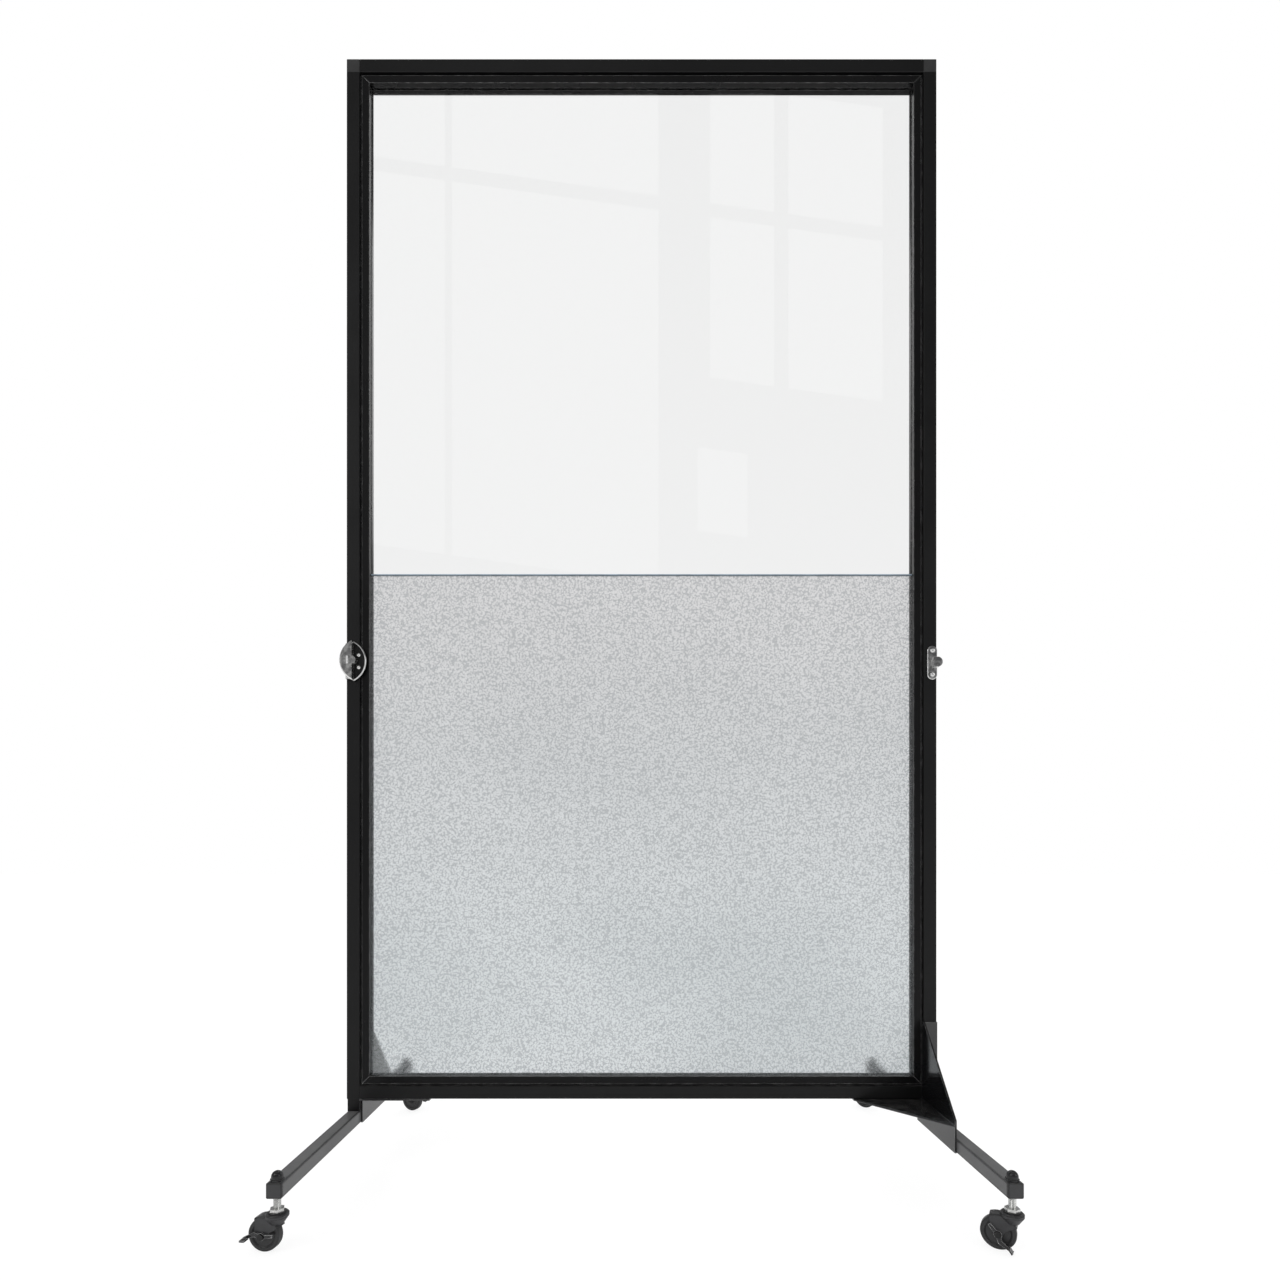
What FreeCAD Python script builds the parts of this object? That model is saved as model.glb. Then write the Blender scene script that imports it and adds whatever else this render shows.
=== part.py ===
import FreeCAD, Part
import math
import os
import re

import Sketcher

# Free-standing screen panel: a framed pair of acrylic sheets on two legs with four hooded casters.
# Millimetres. The origin is on the floor under the middle of the panel, +X right, +Y to the back, +Z up.

SIZES = [
    # Frame
    ("frame_width", 1000, "outer width of the frame"),
    ("frame_height", 1763, "outer height of the frame"),
    ("frame_bottom", 116, "floor to the underside of the frame"),
    ("frame_depth", 30, "front to back of the frame tubes"),
    ("band_width", 22, "face width of the frame tubes"),
    ("tube_wall", 1.6, "wall of the frame tubes"),
    ("tube_corner", 1.2, "radius of the frame's outer corners"),
    ("cap_height", 22, "height of a top corner block"),
    ("plug_length", 14, "how far a corner block or riser reaches into its tube"),
    ("plug_clearance", 0.15, "play round a plug in its tube"),
    # Glazing channel
    ("channel_width", 15.5, "tube to the edge of the glazed opening"),
    ("channel_depth", 24, "front to back over the channel's lips"),
    ("neck_width", 3, "width of the shadow groove beside the tube"),
    ("neck_depth", 18, "front to back of the channel behind the shadow groove"),
    ("sheet_bite", 10, "how far a sheet reaches into the channel"),
    ("sheet_clearance", 0.2, "play on each side of a sheet in its channel"),
    ("sheet_thickness", 5, "thickness of the acrylic"),
    ("joint_level", 1009, "floor to the joint between the two sheets"),
    ("strip_height", 2, "height of the joint strip that shows"),
    ("strip_depth", 6.4, "front to back of the joint strip"),
    # Legs
    ("leg_size", 21, "side of the square leg tube"),
    ("leg_wall", 1.8, "wall of the leg tube"),
    ("leg_corner", 2, "radius of the leg tube's outer corners"),
    ("leg_length", 610, "length over the leg's end plugs"),
    ("leg_bottom", 73.5, "floor to the underside of the leg"),
    ("end_plate", 3, "thickness of a leg's end plate"),
    ("end_stub", 16, "length of an end plug inside the tube"),
    ("end_edge", 1.2, "radius round an end plate's outer face"),
    ("riser_recess", 2, "how far the riser stands behind the frame's face"),
    # Gusset
    ("gusset_sheet", 3, "thickness of the folded gusset"),
    ("gusset_height", 131, "height of the upright wing over the frame's underside"),
    ("gusset_reach", 131, "reach of the wings from the frame's face"),
    ("gusset_inward", 119, "reach of the level wing along the rail"),
    ("gusset_tail", 22, "how far the lower flange runs on past the frame's face"),
    ("gusset_tip", 7, "blunt width of the upright wing's two ends"),
    ("gusset_bend", 2, "inside radius of the gusset's folds"),
    # Casters
    ("stem_radius", 4.75, "radius of the threaded stem"),
    ("stem_inset", 10.5, "leg end to the stem's axis"),
    ("hole_clearance", 0.25, "play round the stem in the leg"),
    ("nut_flat", 17, "across the flats of the stem's hexagon"),
    ("nut_height", 4, "height of the hexagon"),
    ("knob_radius", 7.8, "radius of the domed nut on the leg"),
    ("knob_height", 13, "height of the domed nut"),
    ("knob_flange", 8.9, "radius of the domed nut's flange"),
    ("knob_flange_height", 2.4, "height of the domed nut's flange"),
    ("wheel_radius", 22.5, "radius of a wheel"),
    ("wheel_width", 12, "width of a wheel"),
    ("caster_trail", 16.6, "stem axis to wheel axis"),
    ("hub_radius", 17, "radius of the recessed disc in a wheel's face"),
    ("hub_recess", 1.5, "depth of the recessed disc"),
    ("hub_collar", 3, "width of the collar round the axle"),
    ("tread_round", 2.5, "radius at the tread's shoulders"),
    ("axle_radius", 2.5, "radius of the axle"),
    ("axle_head", 1.8, "how far an axle head stands out all round"),
    ("axle_head_height", 1.5, "height of an axle head"),
    ("head_gap", 0.3, "gap between the brake lever and the axle head"),
    ("running_play", 0.08, "radial play of a running fit"),
    ("hood_gap", 1.2, "running gap between the tread and the hood"),
    ("hood_wall", 2, "thickness of the hood's fender and cheeks"),
    ("hood_edge", 1.2, "bevel along the fender's edges"),
    ("hood_back", 11, "how far the hood reaches back past the wheel's axis"),
    ("cheek_gap", 0.8, "running gap between a wheel's face and a cheek"),
    ("cheek_rise", 6, "wheel's axis to the lower edge of a cheek"),
    ("cheek_toe", 13, "how far that lower edge reaches ahead of the wheel's axis"),
    ("cheek_front", 13, "wheel's axis up to the hood's front edge"),
    ("cheek_eye", 6, "radius of a cheek's eye on the axle"),
    ("boss_radius", 15, "radius of the swivel boss"),
    ("boss_height", 6.5, "height of the swivel boss"),
    ("boss_top", 53.5, "floor to the top of the swivel boss"),
    ("boss_edge", 1.5, "bevel and step at the top of the swivel boss"),
    ("collar_radius", 11, "radius of the raised collar on the boss"),
    ("neck_radius", 8.8, "radius of the neck under the boss"),
    ("neck_drop", 9, "height of the flare from the boss down to its neck"),
    ("socket_depth", 9, "depth of the stem's bore in the hood"),
    ("swivel_gap", 0.4, "gap between the stem's hexagon and the boss"),
    ("lever_thickness", 2.4, "thickness of the brake lever"),
    ("lever_reach", 26, "axle to the tip of the brake lever"),
    ("lever_drop", 4, "how far the tip lies under the axle"),
    ("lever_knee", 10, "axle to the bend in the brake lever"),
    ("lever_rise", 3, "how far the bend stands over the axle"),
    ("lever_tail", 16, "axle to the brake lever's other end"),
    ("lever_tail_rise", 2, "how far that end stands over the axle"),
    ("lever_foot", 10, "how far the lever's foot stands out sideways"),
    ("lever_foot_length", 7, "length of the lever's foot along the blade"),
    ("lever_width", 6, "width of the brake lever at the axle"),
    ("lever_end", 3.6, "width of the brake lever at its ends"),
    ("lever_eye", 5.2, "radius of the brake lever's eye"),
    ("lever_gap", 0.5, "gap between the cheek and the brake lever"),
    ("front_left_turn", -9, "turn of the front left caster about its stem"),
    ("front_right_turn", -30, "turn of the front right caster"),
    ("rear_left_turn", 155, "turn of the rear left caster"),
    ("rear_right_turn", -45, "turn of the rear right caster"),
    ("front_left_lever", 0, "fall of the front left brake lever"),
    ("front_right_lever", 124, "fall of the front right brake lever"),
    ("rear_left_lever", 0, "fall of the rear left brake lever"),
    ("rear_right_lever", 0, "fall of the rear right brake lever"),
    # Latch on the left stile and keeper on the right stile
    ("latch_level", 857, "floor to the middle of the latch"),
    ("latch_length", 67, "height of the latch's crescent"),
    ("latch_belly", 21, "width of the latch's crescent"),
    ("latch_lever", 9, "thickness of the latch's crescent"),
    ("latch_bevel", 2, "bevel round the crescent's face"),
    ("latch_slot_width", 4, "width of the finger slot in the crescent"),
    ("latch_slot_length", 14, "height of the finger slot"),
    ("latch_slot_depth", 1.2, "depth of the finger slot"),
    ("latch_slot_inset", 8, "pin's axis to the middle of the finger slot"),
    ("latch_base_length", 60, "height of the base plate under the crescent"),
    ("latch_base", 5, "thickness of the latch's base plate"),
    ("latch_rim", 2, "width of the rim round the base plate's recess"),
    ("latch_recess", 2.5, "depth of the recess in the base plate"),
    ("latch_overhang", 7.5, "how far the crescent stands past the frame's edge"),
    ("latch_gap", 0.6, "gap between crescent and base plate"),
    ("latch_pin", 4, "radius of the latch's pivot pin"),
    ("latch_hub", 6.5, "radius of the crescent's hub"),
    ("latch_cover", 2, "thickness of the crescent in front of the pin"),
    ("pin_room", 0.5, "room in front of the pin in its blind bore"),
    ("keeper_level", 855, "floor to the middle of the keeper"),
    ("keeper_width", 16.4, "width of the keeper's plate"),
    ("keeper_length", 57, "height of the keeper's plate"),
    ("keeper_plate", 3, "thickness of the keeper's plate"),
    ("keeper_edge", 0.8, "bevel round the keeper's plate"),
    ("keeper_tongue", 17, "height of the keeper's tongue"),
    ("keeper_reach", 7, "how far the tongue stands past the frame's edge"),
    ("keeper_rise", 9, "face of the tongue to the frame's face"),
    ("keeper_lift", 1, "gap between the tongue's back and the frame's face"),
]

doc = FreeCAD.newDocument("screen_panel")
sheet = doc.addObject("Spreadsheet::Sheet", "Sizes")
for row, (alias, number, note) in enumerate(SIZES, start=1):
    sheet.set(f"A{row}", note)
    sheet.set(f"B{row}", str(number))
    sheet.setAlias(f"B{row}", alias)
doc.recompute()

ALIASES = {alias for alias, number, note in SIZES}
WORD = re.compile(r"[a-z]+(?:_[a-z]+)*")
SUB_PARTS = []
PAST = 1        # how far a cutting tool runs past what it cuts
SMALL = 0.01    # distance under which an edge counts as lying on a side


def bound(size):
    """The expression with each size named as a cell of the sheet."""
    return WORD.sub(lambda word: "Sizes." + word[0] if word[0] in ALIASES else word[0], str(size))


def value(size):
    """The number that an expression of sizes comes to now."""
    return float(sheet.evalExpression(bound(size)))


def bind(thing, **sizes):
    """Tie properties of an object to expressions of sizes."""
    for name, size in sizes.items():
        thing.setExpression(name, bound(size))
    return thing


def put(thing, x=0, y=0, z=0, turn=None):
    """Place an object at a point, turned about an axis by degrees."""
    if turn:
        axis, degrees = turn
        rotation = FreeCAD.Rotation(FreeCAD.Vector(*axis), degrees)
        thing.Placement = FreeCAD.Placement(FreeCAD.Vector(), rotation)
    for name, size in (("x", x), ("y", y), ("z", z)):
        thing.setExpression(f"Placement.Base.{name}", bound(size))
    return thing


def keep(thing, label):
    """Name a finished sub-part and list it for its file."""
    thing.Label = label
    SUB_PARTS.append(thing)
    return thing


def box(x, y, z, length, width, height):
    """Block with its low corner at a point."""
    block = bind(doc.addObject("Part::Box", "block"), Length=length, Width=width, Height=height)
    return put(block, x, y, z)


UP = None
BACK = ((1, 0, 0), -90)
ACROSS = ((0, 1, 0), 90)


def rod(x, y, z, radius, length, turn=UP):
    """Cylinder that starts at a point and runs up, to the back or across."""
    return put(bind(doc.addObject("Part::Cylinder", "rod"), Radius=radius, Height=length), x, y, z, turn)


def join(*things):
    """Fuse pieces that are made in one."""
    whole = doc.addObject("Part::MultiFuse", "whole")
    whole.Shapes = list(things)
    whole.Refine = True
    return whole


def cut(base, *tools):
    """Take tools away from a piece."""
    left = doc.addObject("Part::Cut", "cut")
    left.Base = base
    left.Tool = tools[0] if len(tools) == 1 else join(*tools)
    left.Refine = True
    return left


def shared(*things):
    """What several shapes have in common."""
    part = doc.addObject("Part::MultiCommon", "shared")
    part.Shapes = list(things)
    return part


def spans(limits):
    """Low and high end of a bounding box on each axis."""
    return (limits.XMin, limits.XMax), (limits.YMin, limits.YMax), (limits.ZMin, limits.ZMax)


def sides_of(edge, piece):
    """The sides of a piece's box that an edge lies on, as (axis, 0 for low or 1 for high)."""
    found = set()
    for axis, (ends, sides) in enumerate(zip(spans(edge.BoundBox), spans(piece.BoundBox))):
        for which, side in enumerate(sides):
            if max(abs(ends[0] - side), abs(ends[1] - side)) < SMALL:
                found.add((axis, which))
    return found


def corners_along(along):
    """Test for the four edges that run along an axis at the corners of a piece."""
    return lambda edge, piece: {axis for axis, which in sides_of(edge, piece)} == {0, 1, 2} - {along}


def rim_of(side):
    """Test for the edges round one side of a piece."""
    return lambda edge, piece: side in sides_of(edge, piece)


def softened(kind, base, size, chosen):
    """Fillet or chamfer the edges of a piece that pass a test."""
    doc.recompute()
    done = doc.addObject(kind, "softened")
    done.Base = base
    reach = value(size)
    done.Edges = [(number, reach, reach) for number, edge in enumerate(base.Shape.Edges, start=1)
                  if chosen(edge, base.Shape)]
    return done


def rounded(base, radius, chosen):
    """Round the edges of a piece that pass a test."""
    return softened("Part::Fillet", base, radius, chosen)


def bevelled(base, size, chosen):
    """Bevel the edges of a piece that pass a test."""
    return softened("Part::Chamfer", base, size, chosen)


def group(*things):
    """Hold separate solids as one sub-part."""
    held = doc.addObject("Part::Compound", "group")
    held.Links = list(things)
    return held


def plane_of(body, role):
    """One of a body's own origin planes."""
    return next(plane for plane in body.Origin.OriginFeatures if plane.Role == role)


def hold(sketch, kind, edge, size):
    """Hold an edge's start at a bound distance from the sketch's origin."""
    number = sketch.addConstraint(Sketcher.Constraint(kind, -1, 1, edge, 1, value(size)))
    sketch.setExpression(f"Constraints[{number}]", bound(size))


def outline(sketch, points):
    """Closed outline of straight edges through points of bound sizes."""
    corners = [FreeCAD.Vector(value(across), value(along), 0) for across, along in points]
    first = sketch.GeometryCount
    for index, corner in enumerate(corners):
        sketch.addGeometry(Part.LineSegment(corner, corners[(index + 1) % len(corners)]), False)
    for index, (across, along) in enumerate(points):
        before = first + (index - 1) % len(corners)
        sketch.addConstraint(Sketcher.Constraint("Coincident", before, 2, first + index, 1))
        hold(sketch, "DistanceX", first + index, across)
        hold(sketch, "DistanceY", first + index, along)


def sketch_on(body, role, *loops):
    """Sketch of one or more outlines on an origin plane of a body."""
    sketch = body.newObject("Sketcher::SketchObject", "outline")
    sketch.AttachmentSupport = [(plane_of(body, role), "")]
    sketch.MapMode = "FlatFace"
    for loop in loops:
        outline(sketch, loop)
    return sketch


def extruded(role, length, *loops):
    """Body of one profile, padded from an origin plane."""
    body = doc.addObject("PartDesign::Body", "body")
    pad = body.newObject("PartDesign::Pad", "pad")
    pad.Profile = sketch_on(body, role, *loops)
    bind(pad, Length=length)
    body.Tip = pad
    return body


def turned(role, axis, loop):
    """Body of one half profile, revolved about an axis of its sketch."""
    body = doc.addObject("PartDesign::Body", "body")
    profile = sketch_on(body, role, loop)
    revolved = body.newObject("PartDesign::Revolution", "revolved")
    revolved.Profile = profile
    revolved.ReferenceAxis = (profile, [axis])
    revolved.Angle = 360
    body.Tip = revolved
    return body


def rectangle(low_across, low_along, high_across, high_along):
    """Corner points of an upright rectangle."""
    return [(low_across, low_along), (high_across, low_along),
            (high_across, high_along), (low_across, high_along)]


def mirrored(half):
    """Half of a turned profile, from its near end out, followed by its mirror image."""
    return half + [(across, f"-({along})") for across, along in reversed(half)]


def tube_section(across, along, wall):
    """Outer and inner outline of a rectangular tube with one corner at the origin."""
    return (rectangle(0, 0, across, along),
            rectangle(wall, wall, f"{across} - {wall}", f"{along} - {wall}"))


FRAME_TOP = "(frame_bottom + frame_height)"
FACE = "(frame_depth / 2)"
RAIL_LENGTH = "(frame_width - 2 * band_width)"
EDGE = "(band_width + channel_width)"
OPENING_WIDTH = f"(frame_width - 2 * {EDGE})"
LEG_TOP = "(leg_bottom + leg_size)"
LEG_MIDDLE = "(frame_width / 2 - band_width / 2)"
STEM_PLACE = "(leg_length / 2 - stem_inset)"


# Frame tubes

def stile(label, side):
    """Upright frame tube from the frame's underside to its corner block."""
    tube = extruded("XY_Plane", "frame_height - cap_height",
                    *tube_section("band_width", "frame_depth", "tube_wall"))
    low_x = "-frame_width / 2" if side < 0 else "frame_width / 2 - band_width"
    put(tube, low_x, f"-{FACE}", "frame_bottom")
    keep(rounded(tube, "tube_corner", corners_along(2)), label)


def rail(label, low_z):
    """Level frame tube between the stiles."""
    tube = extruded("YZ_Plane", RAIL_LENGTH, *tube_section("frame_depth", "band_width", "tube_wall"))
    put(tube, f"-{RAIL_LENGTH} / 2", f"-{FACE}", low_z)
    keep(rounded(tube, "tube_corner", corners_along(0)), label)


def tube_plug(low_x, top_z, down):
    """Plug that fills a frame tube from a level, down or up."""
    inset = "(tube_wall + plug_clearance)"
    low_z = f"{top_z} - plug_length" if down else top_z
    return box(f"{low_x} + {inset}", f"-{FACE} + {inset}", low_z,
               f"band_width - 2 * {inset}", f"frame_depth - 2 * {inset}", "plug_length")


def corner_block(label, side):
    """Square block that closes a top corner, plugged into its stile."""
    low_x = "-frame_width / 2" if side < 0 else "(frame_width / 2 - band_width)"
    head = box(low_x, f"-{FACE}", f"{FRAME_TOP} - cap_height", "band_width", "frame_depth", "cap_height")
    upright = rounded(head, "tube_corner", corners_along(2))
    capped = rounded(upright, "tube_corner", rim_of((2, 1)))
    keep(join(capped, tube_plug(low_x, f"({FRAME_TOP} - cap_height)", True)), label)


stile("left_stile", -1)
stile("right_stile", 1)
rail("top_rail", f"{FRAME_TOP} - band_width")
rail("bottom_rail", "frame_bottom")
corner_block("top_left_corner_block", -1)
corner_block("top_right_corner_block", 1)


# Glazing channels, mitred at the corners

def glazing_channel(label, length, x, z, degrees):
    """Channel with a shadow groove at its back and a slot for the sheet, cut at 45 degrees at both ends."""
    neck, lip, slot = "neck_depth / 2", "channel_depth / 2", "(sheet_thickness / 2 + sheet_clearance)"
    floor = "channel_width - sheet_bite"
    half = [(neck, 0), (neck, "neck_width"), (lip, "neck_width"), (lip, "channel_width"),
            (slot, "channel_width"), (slot, floor)]
    section = half + [(f"-{across}", along) for across, along in reversed(half)]
    body = extruded("YZ_Plane", length, section)
    ends = sketch_on(body, "XZ_Plane",
                     [("-channel_width", 0), (0, 0), ("channel_width", "channel_width"),
                      ("-channel_width", "channel_width")],
                     [(f"{length} + channel_width", 0), (length, 0),
                      (f"{length} - channel_width", "channel_width"),
                      (f"{length} + channel_width", "channel_width")])
    mitres = body.newObject("PartDesign::Pocket", "mitres")
    mitres.Profile = ends
    mitres.Midplane = True
    bind(mitres, Length="2 * channel_depth")
    body.Tip = mitres
    keep(put(body, x, 0, z, ((0, 1, 0), degrees)), label)


INNER_HEIGHT = "(frame_height - 2 * band_width)"
INNER_LOW = "(frame_bottom + band_width)"
INNER_HIGH = f"({FRAME_TOP} - band_width)"
glazing_channel("bottom_glazing_channel", RAIL_LENGTH, f"-{RAIL_LENGTH} / 2", INNER_LOW, 0)
glazing_channel("top_glazing_channel", RAIL_LENGTH, f"{RAIL_LENGTH} / 2", INNER_HIGH, 180)
glazing_channel("right_glazing_channel", INNER_HEIGHT, f"{RAIL_LENGTH} / 2", INNER_LOW, -90)
glazing_channel("left_glazing_channel", INNER_HEIGHT, f"-{RAIL_LENGTH} / 2", INNER_HIGH, 90)


# Acrylic sheets and the strip that joins them

def acrylic(label, low_z, high_z):
    """Flat sheet held in the channels on three sides."""
    reach = "(sheet_bite - sheet_clearance)"
    keep(box(f"-{OPENING_WIDTH} / 2 - {reach}", "-sheet_thickness / 2", low_z,
             f"{OPENING_WIDTH} + 2 * {reach}", "sheet_thickness", f"{high_z} - ({low_z})"), label)


acrylic("textured_lower_sheet", f"frame_bottom + {EDGE} - sheet_bite", "(joint_level - strip_height / 2)")
acrylic("clear_upper_sheet", "joint_level + strip_height / 2",
        f"({FRAME_TOP} - {EDGE} + sheet_bite - sheet_clearance)")
keep(box(f"-{OPENING_WIDTH} / 2", "-strip_depth / 2", "joint_level - strip_height / 2",
         OPENING_WIDTH, "strip_depth", "strip_height"), "sheet_joint_strip")


# Legs: the left one is the right one turned half round about the panel's upright axis

HALF_ROUND = {-1: ((0, 0, 1), 180), 1: ((0, 0, 1), 0)}


def leg_tube(label, side):
    """Square tube along Y with a hole through it at each caster stem."""
    body_length = "(leg_length - 2 * end_plate)"
    tube = extruded("XZ_Plane", body_length, *tube_section("leg_size", "leg_size", "leg_wall"))
    put(tube, f"{LEG_MIDDLE} - leg_size / 2", f"{body_length} / 2", "leg_bottom")
    holes = [rod(LEG_MIDDLE, f"{end}{STEM_PLACE}", f"leg_bottom - {PAST}",
                 "stem_radius + hole_clearance", f"leg_size + 2 * {PAST}") for end in ("-", "")]
    keep(put(cut(rounded(tube, "leg_corner", corners_along(1)), *holes), turn=HALF_ROUND[side]), label)


def leg_plug(end):
    """End plate with a stub in the tube, drilled for the stem."""
    inset = "(leg_wall + plug_clearance)"
    stub_size = f"leg_size - 2 * {inset}"
    plate_y = "leg_length / 2 - end_plate" if end > 0 else "-leg_length / 2"
    stub_y = "leg_length / 2 - end_plate - end_stub" if end > 0 else "-leg_length / 2 + end_plate"
    low_x = f"{LEG_MIDDLE} - leg_size / 2"
    plate = box(low_x, plate_y, "leg_bottom", "leg_size", "end_plate", "leg_size")
    stub = box(f"{low_x} + {inset}", stub_y, f"leg_bottom + {inset}", stub_size, "end_stub", stub_size)
    outer_side = (1, 1 if end > 0 else 0)
    cap = rounded(rounded(plate, "leg_corner", corners_along(1)), "end_edge", rim_of(outer_side))
    sign = "" if end > 0 else "-"
    hole = rod(LEG_MIDDLE, f"{sign}{STEM_PLACE}", "leg_bottom", "stem_radius + hole_clearance", "leg_size")
    return cut(join(cap, stub), hole)


def domed_nut(end):
    """Flanged round nut with a domed top, blind on the stem's end."""
    sign = "" if end > 0 else "-"
    place = f"{sign}{STEM_PLACE}"
    skirt = rod(LEG_MIDDLE, place, LEG_TOP, "knob_radius", "knob_height - knob_radius")
    dome = put(bind(doc.addObject("Part::Sphere", "dome"), Radius="knob_radius"),
               LEG_MIDDLE, place, f"{LEG_TOP} + knob_height - knob_radius")
    dome.Angle1 = 0
    flange = rod(LEG_MIDDLE, place, LEG_TOP, "knob_flange", "knob_flange_height")
    blind = rod(LEG_MIDDLE, place, LEG_TOP, "stem_radius", "knob_height / 2")
    return cut(join(skirt, dome, flange), blind)


def riser(label, side):
    """Post between leg and stile, with a spigot up into the stile."""
    low_x = "(frame_width / 2 - band_width)"
    depth = "(frame_depth - 2 * riser_recess)"
    post = box(f"{LEG_MIDDLE} - leg_size / 2", f"-{depth} / 2", LEG_TOP,
               "leg_size", depth, f"frame_bottom - {LEG_TOP}")
    spigot = tube_plug(low_x, "frame_bottom", False)
    keep(put(join(rounded(post, "tube_corner", corners_along(2)), spigot), turn=HALF_ROUND[side]), label)


def gusset_fold(edge, piece):
    """Test for the two inner folds beside the upright wing."""
    across, along, up = spans(edge.BoundBox)
    inner = value(f"{LEG_MIDDLE} - leg_size / 2")
    beside_face = abs(across[0] - inner) < SMALL and abs(along[0] - value(f"-{FACE} - gusset_sheet")) < SMALL
    over_level = (abs(across[1] - value(f"{inner} - gusset_sheet")) < SMALL
                  and abs(up[0] - value("frame_bottom")) < SMALL)
    return (beside_face and along[1] - along[0] < SMALL and up[1] - up[0] > value("gusset_height") / 2
            or over_level and up[1] - up[0] < SMALL and along[1] - along[0] > value("gusset_reach") / 2)


def gusset(label, side):
    """Folded sheet that ties stile, rail and leg together at the corner."""
    inner = f"({LEG_MIDDLE} - leg_size / 2)"
    low_x = f"({inner} - gusset_sheet)"
    apex = f"(-{FACE} - gusset_reach)"
    upright = put(extruded("YZ_Plane", "gusset_sheet",
                           [(apex, "frame_bottom - gusset_sheet"),
                            (f"-{FACE}", "frame_bottom - gusset_sheet"),
                            (f"-{FACE}", "frame_bottom + gusset_height"),
                            (f"-{FACE} - gusset_tip", "frame_bottom + gusset_height"),
                            (apex, "frame_bottom + gusset_tip")]),
                  low_x)
    level = put(extruded("XY_Plane", "gusset_sheet",
                         [(inner, apex), (inner, FACE), (f"{inner} - gusset_inward", FACE),
                          (f"{inner} - gusset_inward", f"-{FACE}"), (f"{inner} - gusset_sheet", apex)]),
                z="frame_bottom - gusset_sheet")
    face_flange = box(low_x, f"-{FACE} - gusset_sheet", "frame_bottom - gusset_sheet",
                      f"frame_width / 2 - {low_x}", "gusset_sheet", "gusset_height + gusset_sheet")
    leg_flange = box(low_x, apex, "leg_bottom",
                     "gusset_sheet", "gusset_reach + gusset_tail", "frame_bottom - leg_bottom")
    folded = join(upright, level, face_flange, leg_flange)
    keep(put(rounded(folded, "gusset_bend", gusset_fold), turn=HALF_ROUND[side]), label)


for name, side in (("left", -1), ("right", 1)):
    leg_tube(f"{name}_leg_tube", side)
    keep(put(group(leg_plug(-1), leg_plug(1)), turn=HALF_ROUND[side]), f"{name}_leg_end_plugs")
    keep(put(group(domed_nut(-1), domed_nut(1)), turn=HALF_ROUND[side]), f"{name}_leg_domed_nuts")
    riser(f"{name}_riser", side)
    gusset(f"{name}_gusset", side)


# Casters: each is built with its stem on the Z axis and its wheel towards -X, then turned about the stem

ROOM_SIDE = "(wheel_width / 2 + cheek_gap)"
CHEEK_SIDE = f"({ROOM_SIDE} + hood_wall)"
HOOD_OUTER = "(wheel_radius + hood_gap + hood_wall)"


def seat(thing, side, end, turn):
    """Put a caster piece under its stem hole, turned about the stem."""
    x = f"{'-' if side < 0 else ''}{LEG_MIDDLE}"
    y = f"{'-' if end < 0 else ''}{STEM_PLACE}"
    return put(thing, x, y, 0, ((0, 0, 1), value(turn)))


def stem_piece():
    """Threaded stem with its hexagon, from the hood's socket to the domed nut."""
    low = "(boss_top - socket_depth + swivel_gap)"
    shank = rod(0, 0, low, "stem_radius", f"{LEG_TOP} + knob_height / 2 - {low}")
    corners = []
    for index in range(6):
        angle = math.radians(60 * index)
        corners.append((f"{math.cos(angle):.9f} * nut_flat / sqrt(3)",
                        f"{math.sin(angle):.9f} * nut_flat / sqrt(3)"))
    nut = put(extruded("XY_Plane", "nut_height", corners), z="boss_top + swivel_gap")
    return join(shank, nut)


def swivel_boss():
    """Stepped round boss that flares down to its neck."""
    flare_low = "(boss_top - boss_height - neck_drop)"
    shoulder = "(boss_top - boss_edge)"
    return turned("XZ_Plane", "V_Axis",
                  [(0, flare_low), ("neck_radius", flare_low), ("boss_radius", "boss_top - boss_height"),
                   ("boss_radius", f"{shoulder} - boss_edge"), ("boss_radius - boss_edge", shoulder),
                   ("collar_radius", shoulder), ("collar_radius", "boss_top"), (0, "boss_top")])


def fender():
    """Bevelled disc over the wheel, kept above the cheeks' lower edge and ahead of the hood's back edge."""
    disc = turned("XY_Plane", "V_Axis", mirrored([(0, CHEEK_SIDE), (f"{HOOD_OUTER} - hood_edge", CHEEK_SIDE),
                                                  (HOOD_OUTER, f"{CHEEK_SIDE} - hood_edge")]))
    put(disc, "-caster_trail", 0, "wheel_radius")
    kept = extruded("XZ_Plane", f"2 * {CHEEK_SIDE}",
                    [("-hood_back", "cheek_rise"), ("cheek_toe", "cheek_rise"), (HOOD_OUTER, "cheek_front"),
                     (HOOD_OUTER, HOOD_OUTER), ("-hood_back", HOOD_OUTER)])
    return shared(disc, put(kept, "-caster_trail", CHEEK_SIDE, "wheel_radius"))


def hood_piece():
    """Hood in one moulding: swivel boss, fender, and two cheeks that taper down to the axle."""
    arms = put(extruded("XZ_Plane", f"2 * {CHEEK_SIDE}",
                        [("-cheek_eye", 0), ("cheek_eye", 0),
                         ("cheek_toe", "cheek_rise"), ("-hood_back", "cheek_rise")]),
               "-caster_trail", CHEEK_SIDE, "wheel_radius")
    eyes = rod("-caster_trail", f"-{CHEEK_SIDE}", "wheel_radius", "cheek_eye", f"2 * {CHEEK_SIDE}", BACK)
    room = rod("-caster_trail", f"-{ROOM_SIDE}", "wheel_radius",
               "wheel_radius + hood_gap", f"2 * {ROOM_SIDE}", BACK)
    bore = rod(0, 0, "boss_top - socket_depth", "stem_radius + running_play", f"socket_depth + {PAST}")
    pin_hole = rod("-caster_trail", f"-{CHEEK_SIDE} - {PAST}", "wheel_radius", "axle_radius",
                   f"2 * ({CHEEK_SIDE} + {PAST})", BACK)
    return cut(join(swivel_boss(), fender(), arms, eyes), room, bore, pin_hole)


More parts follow.
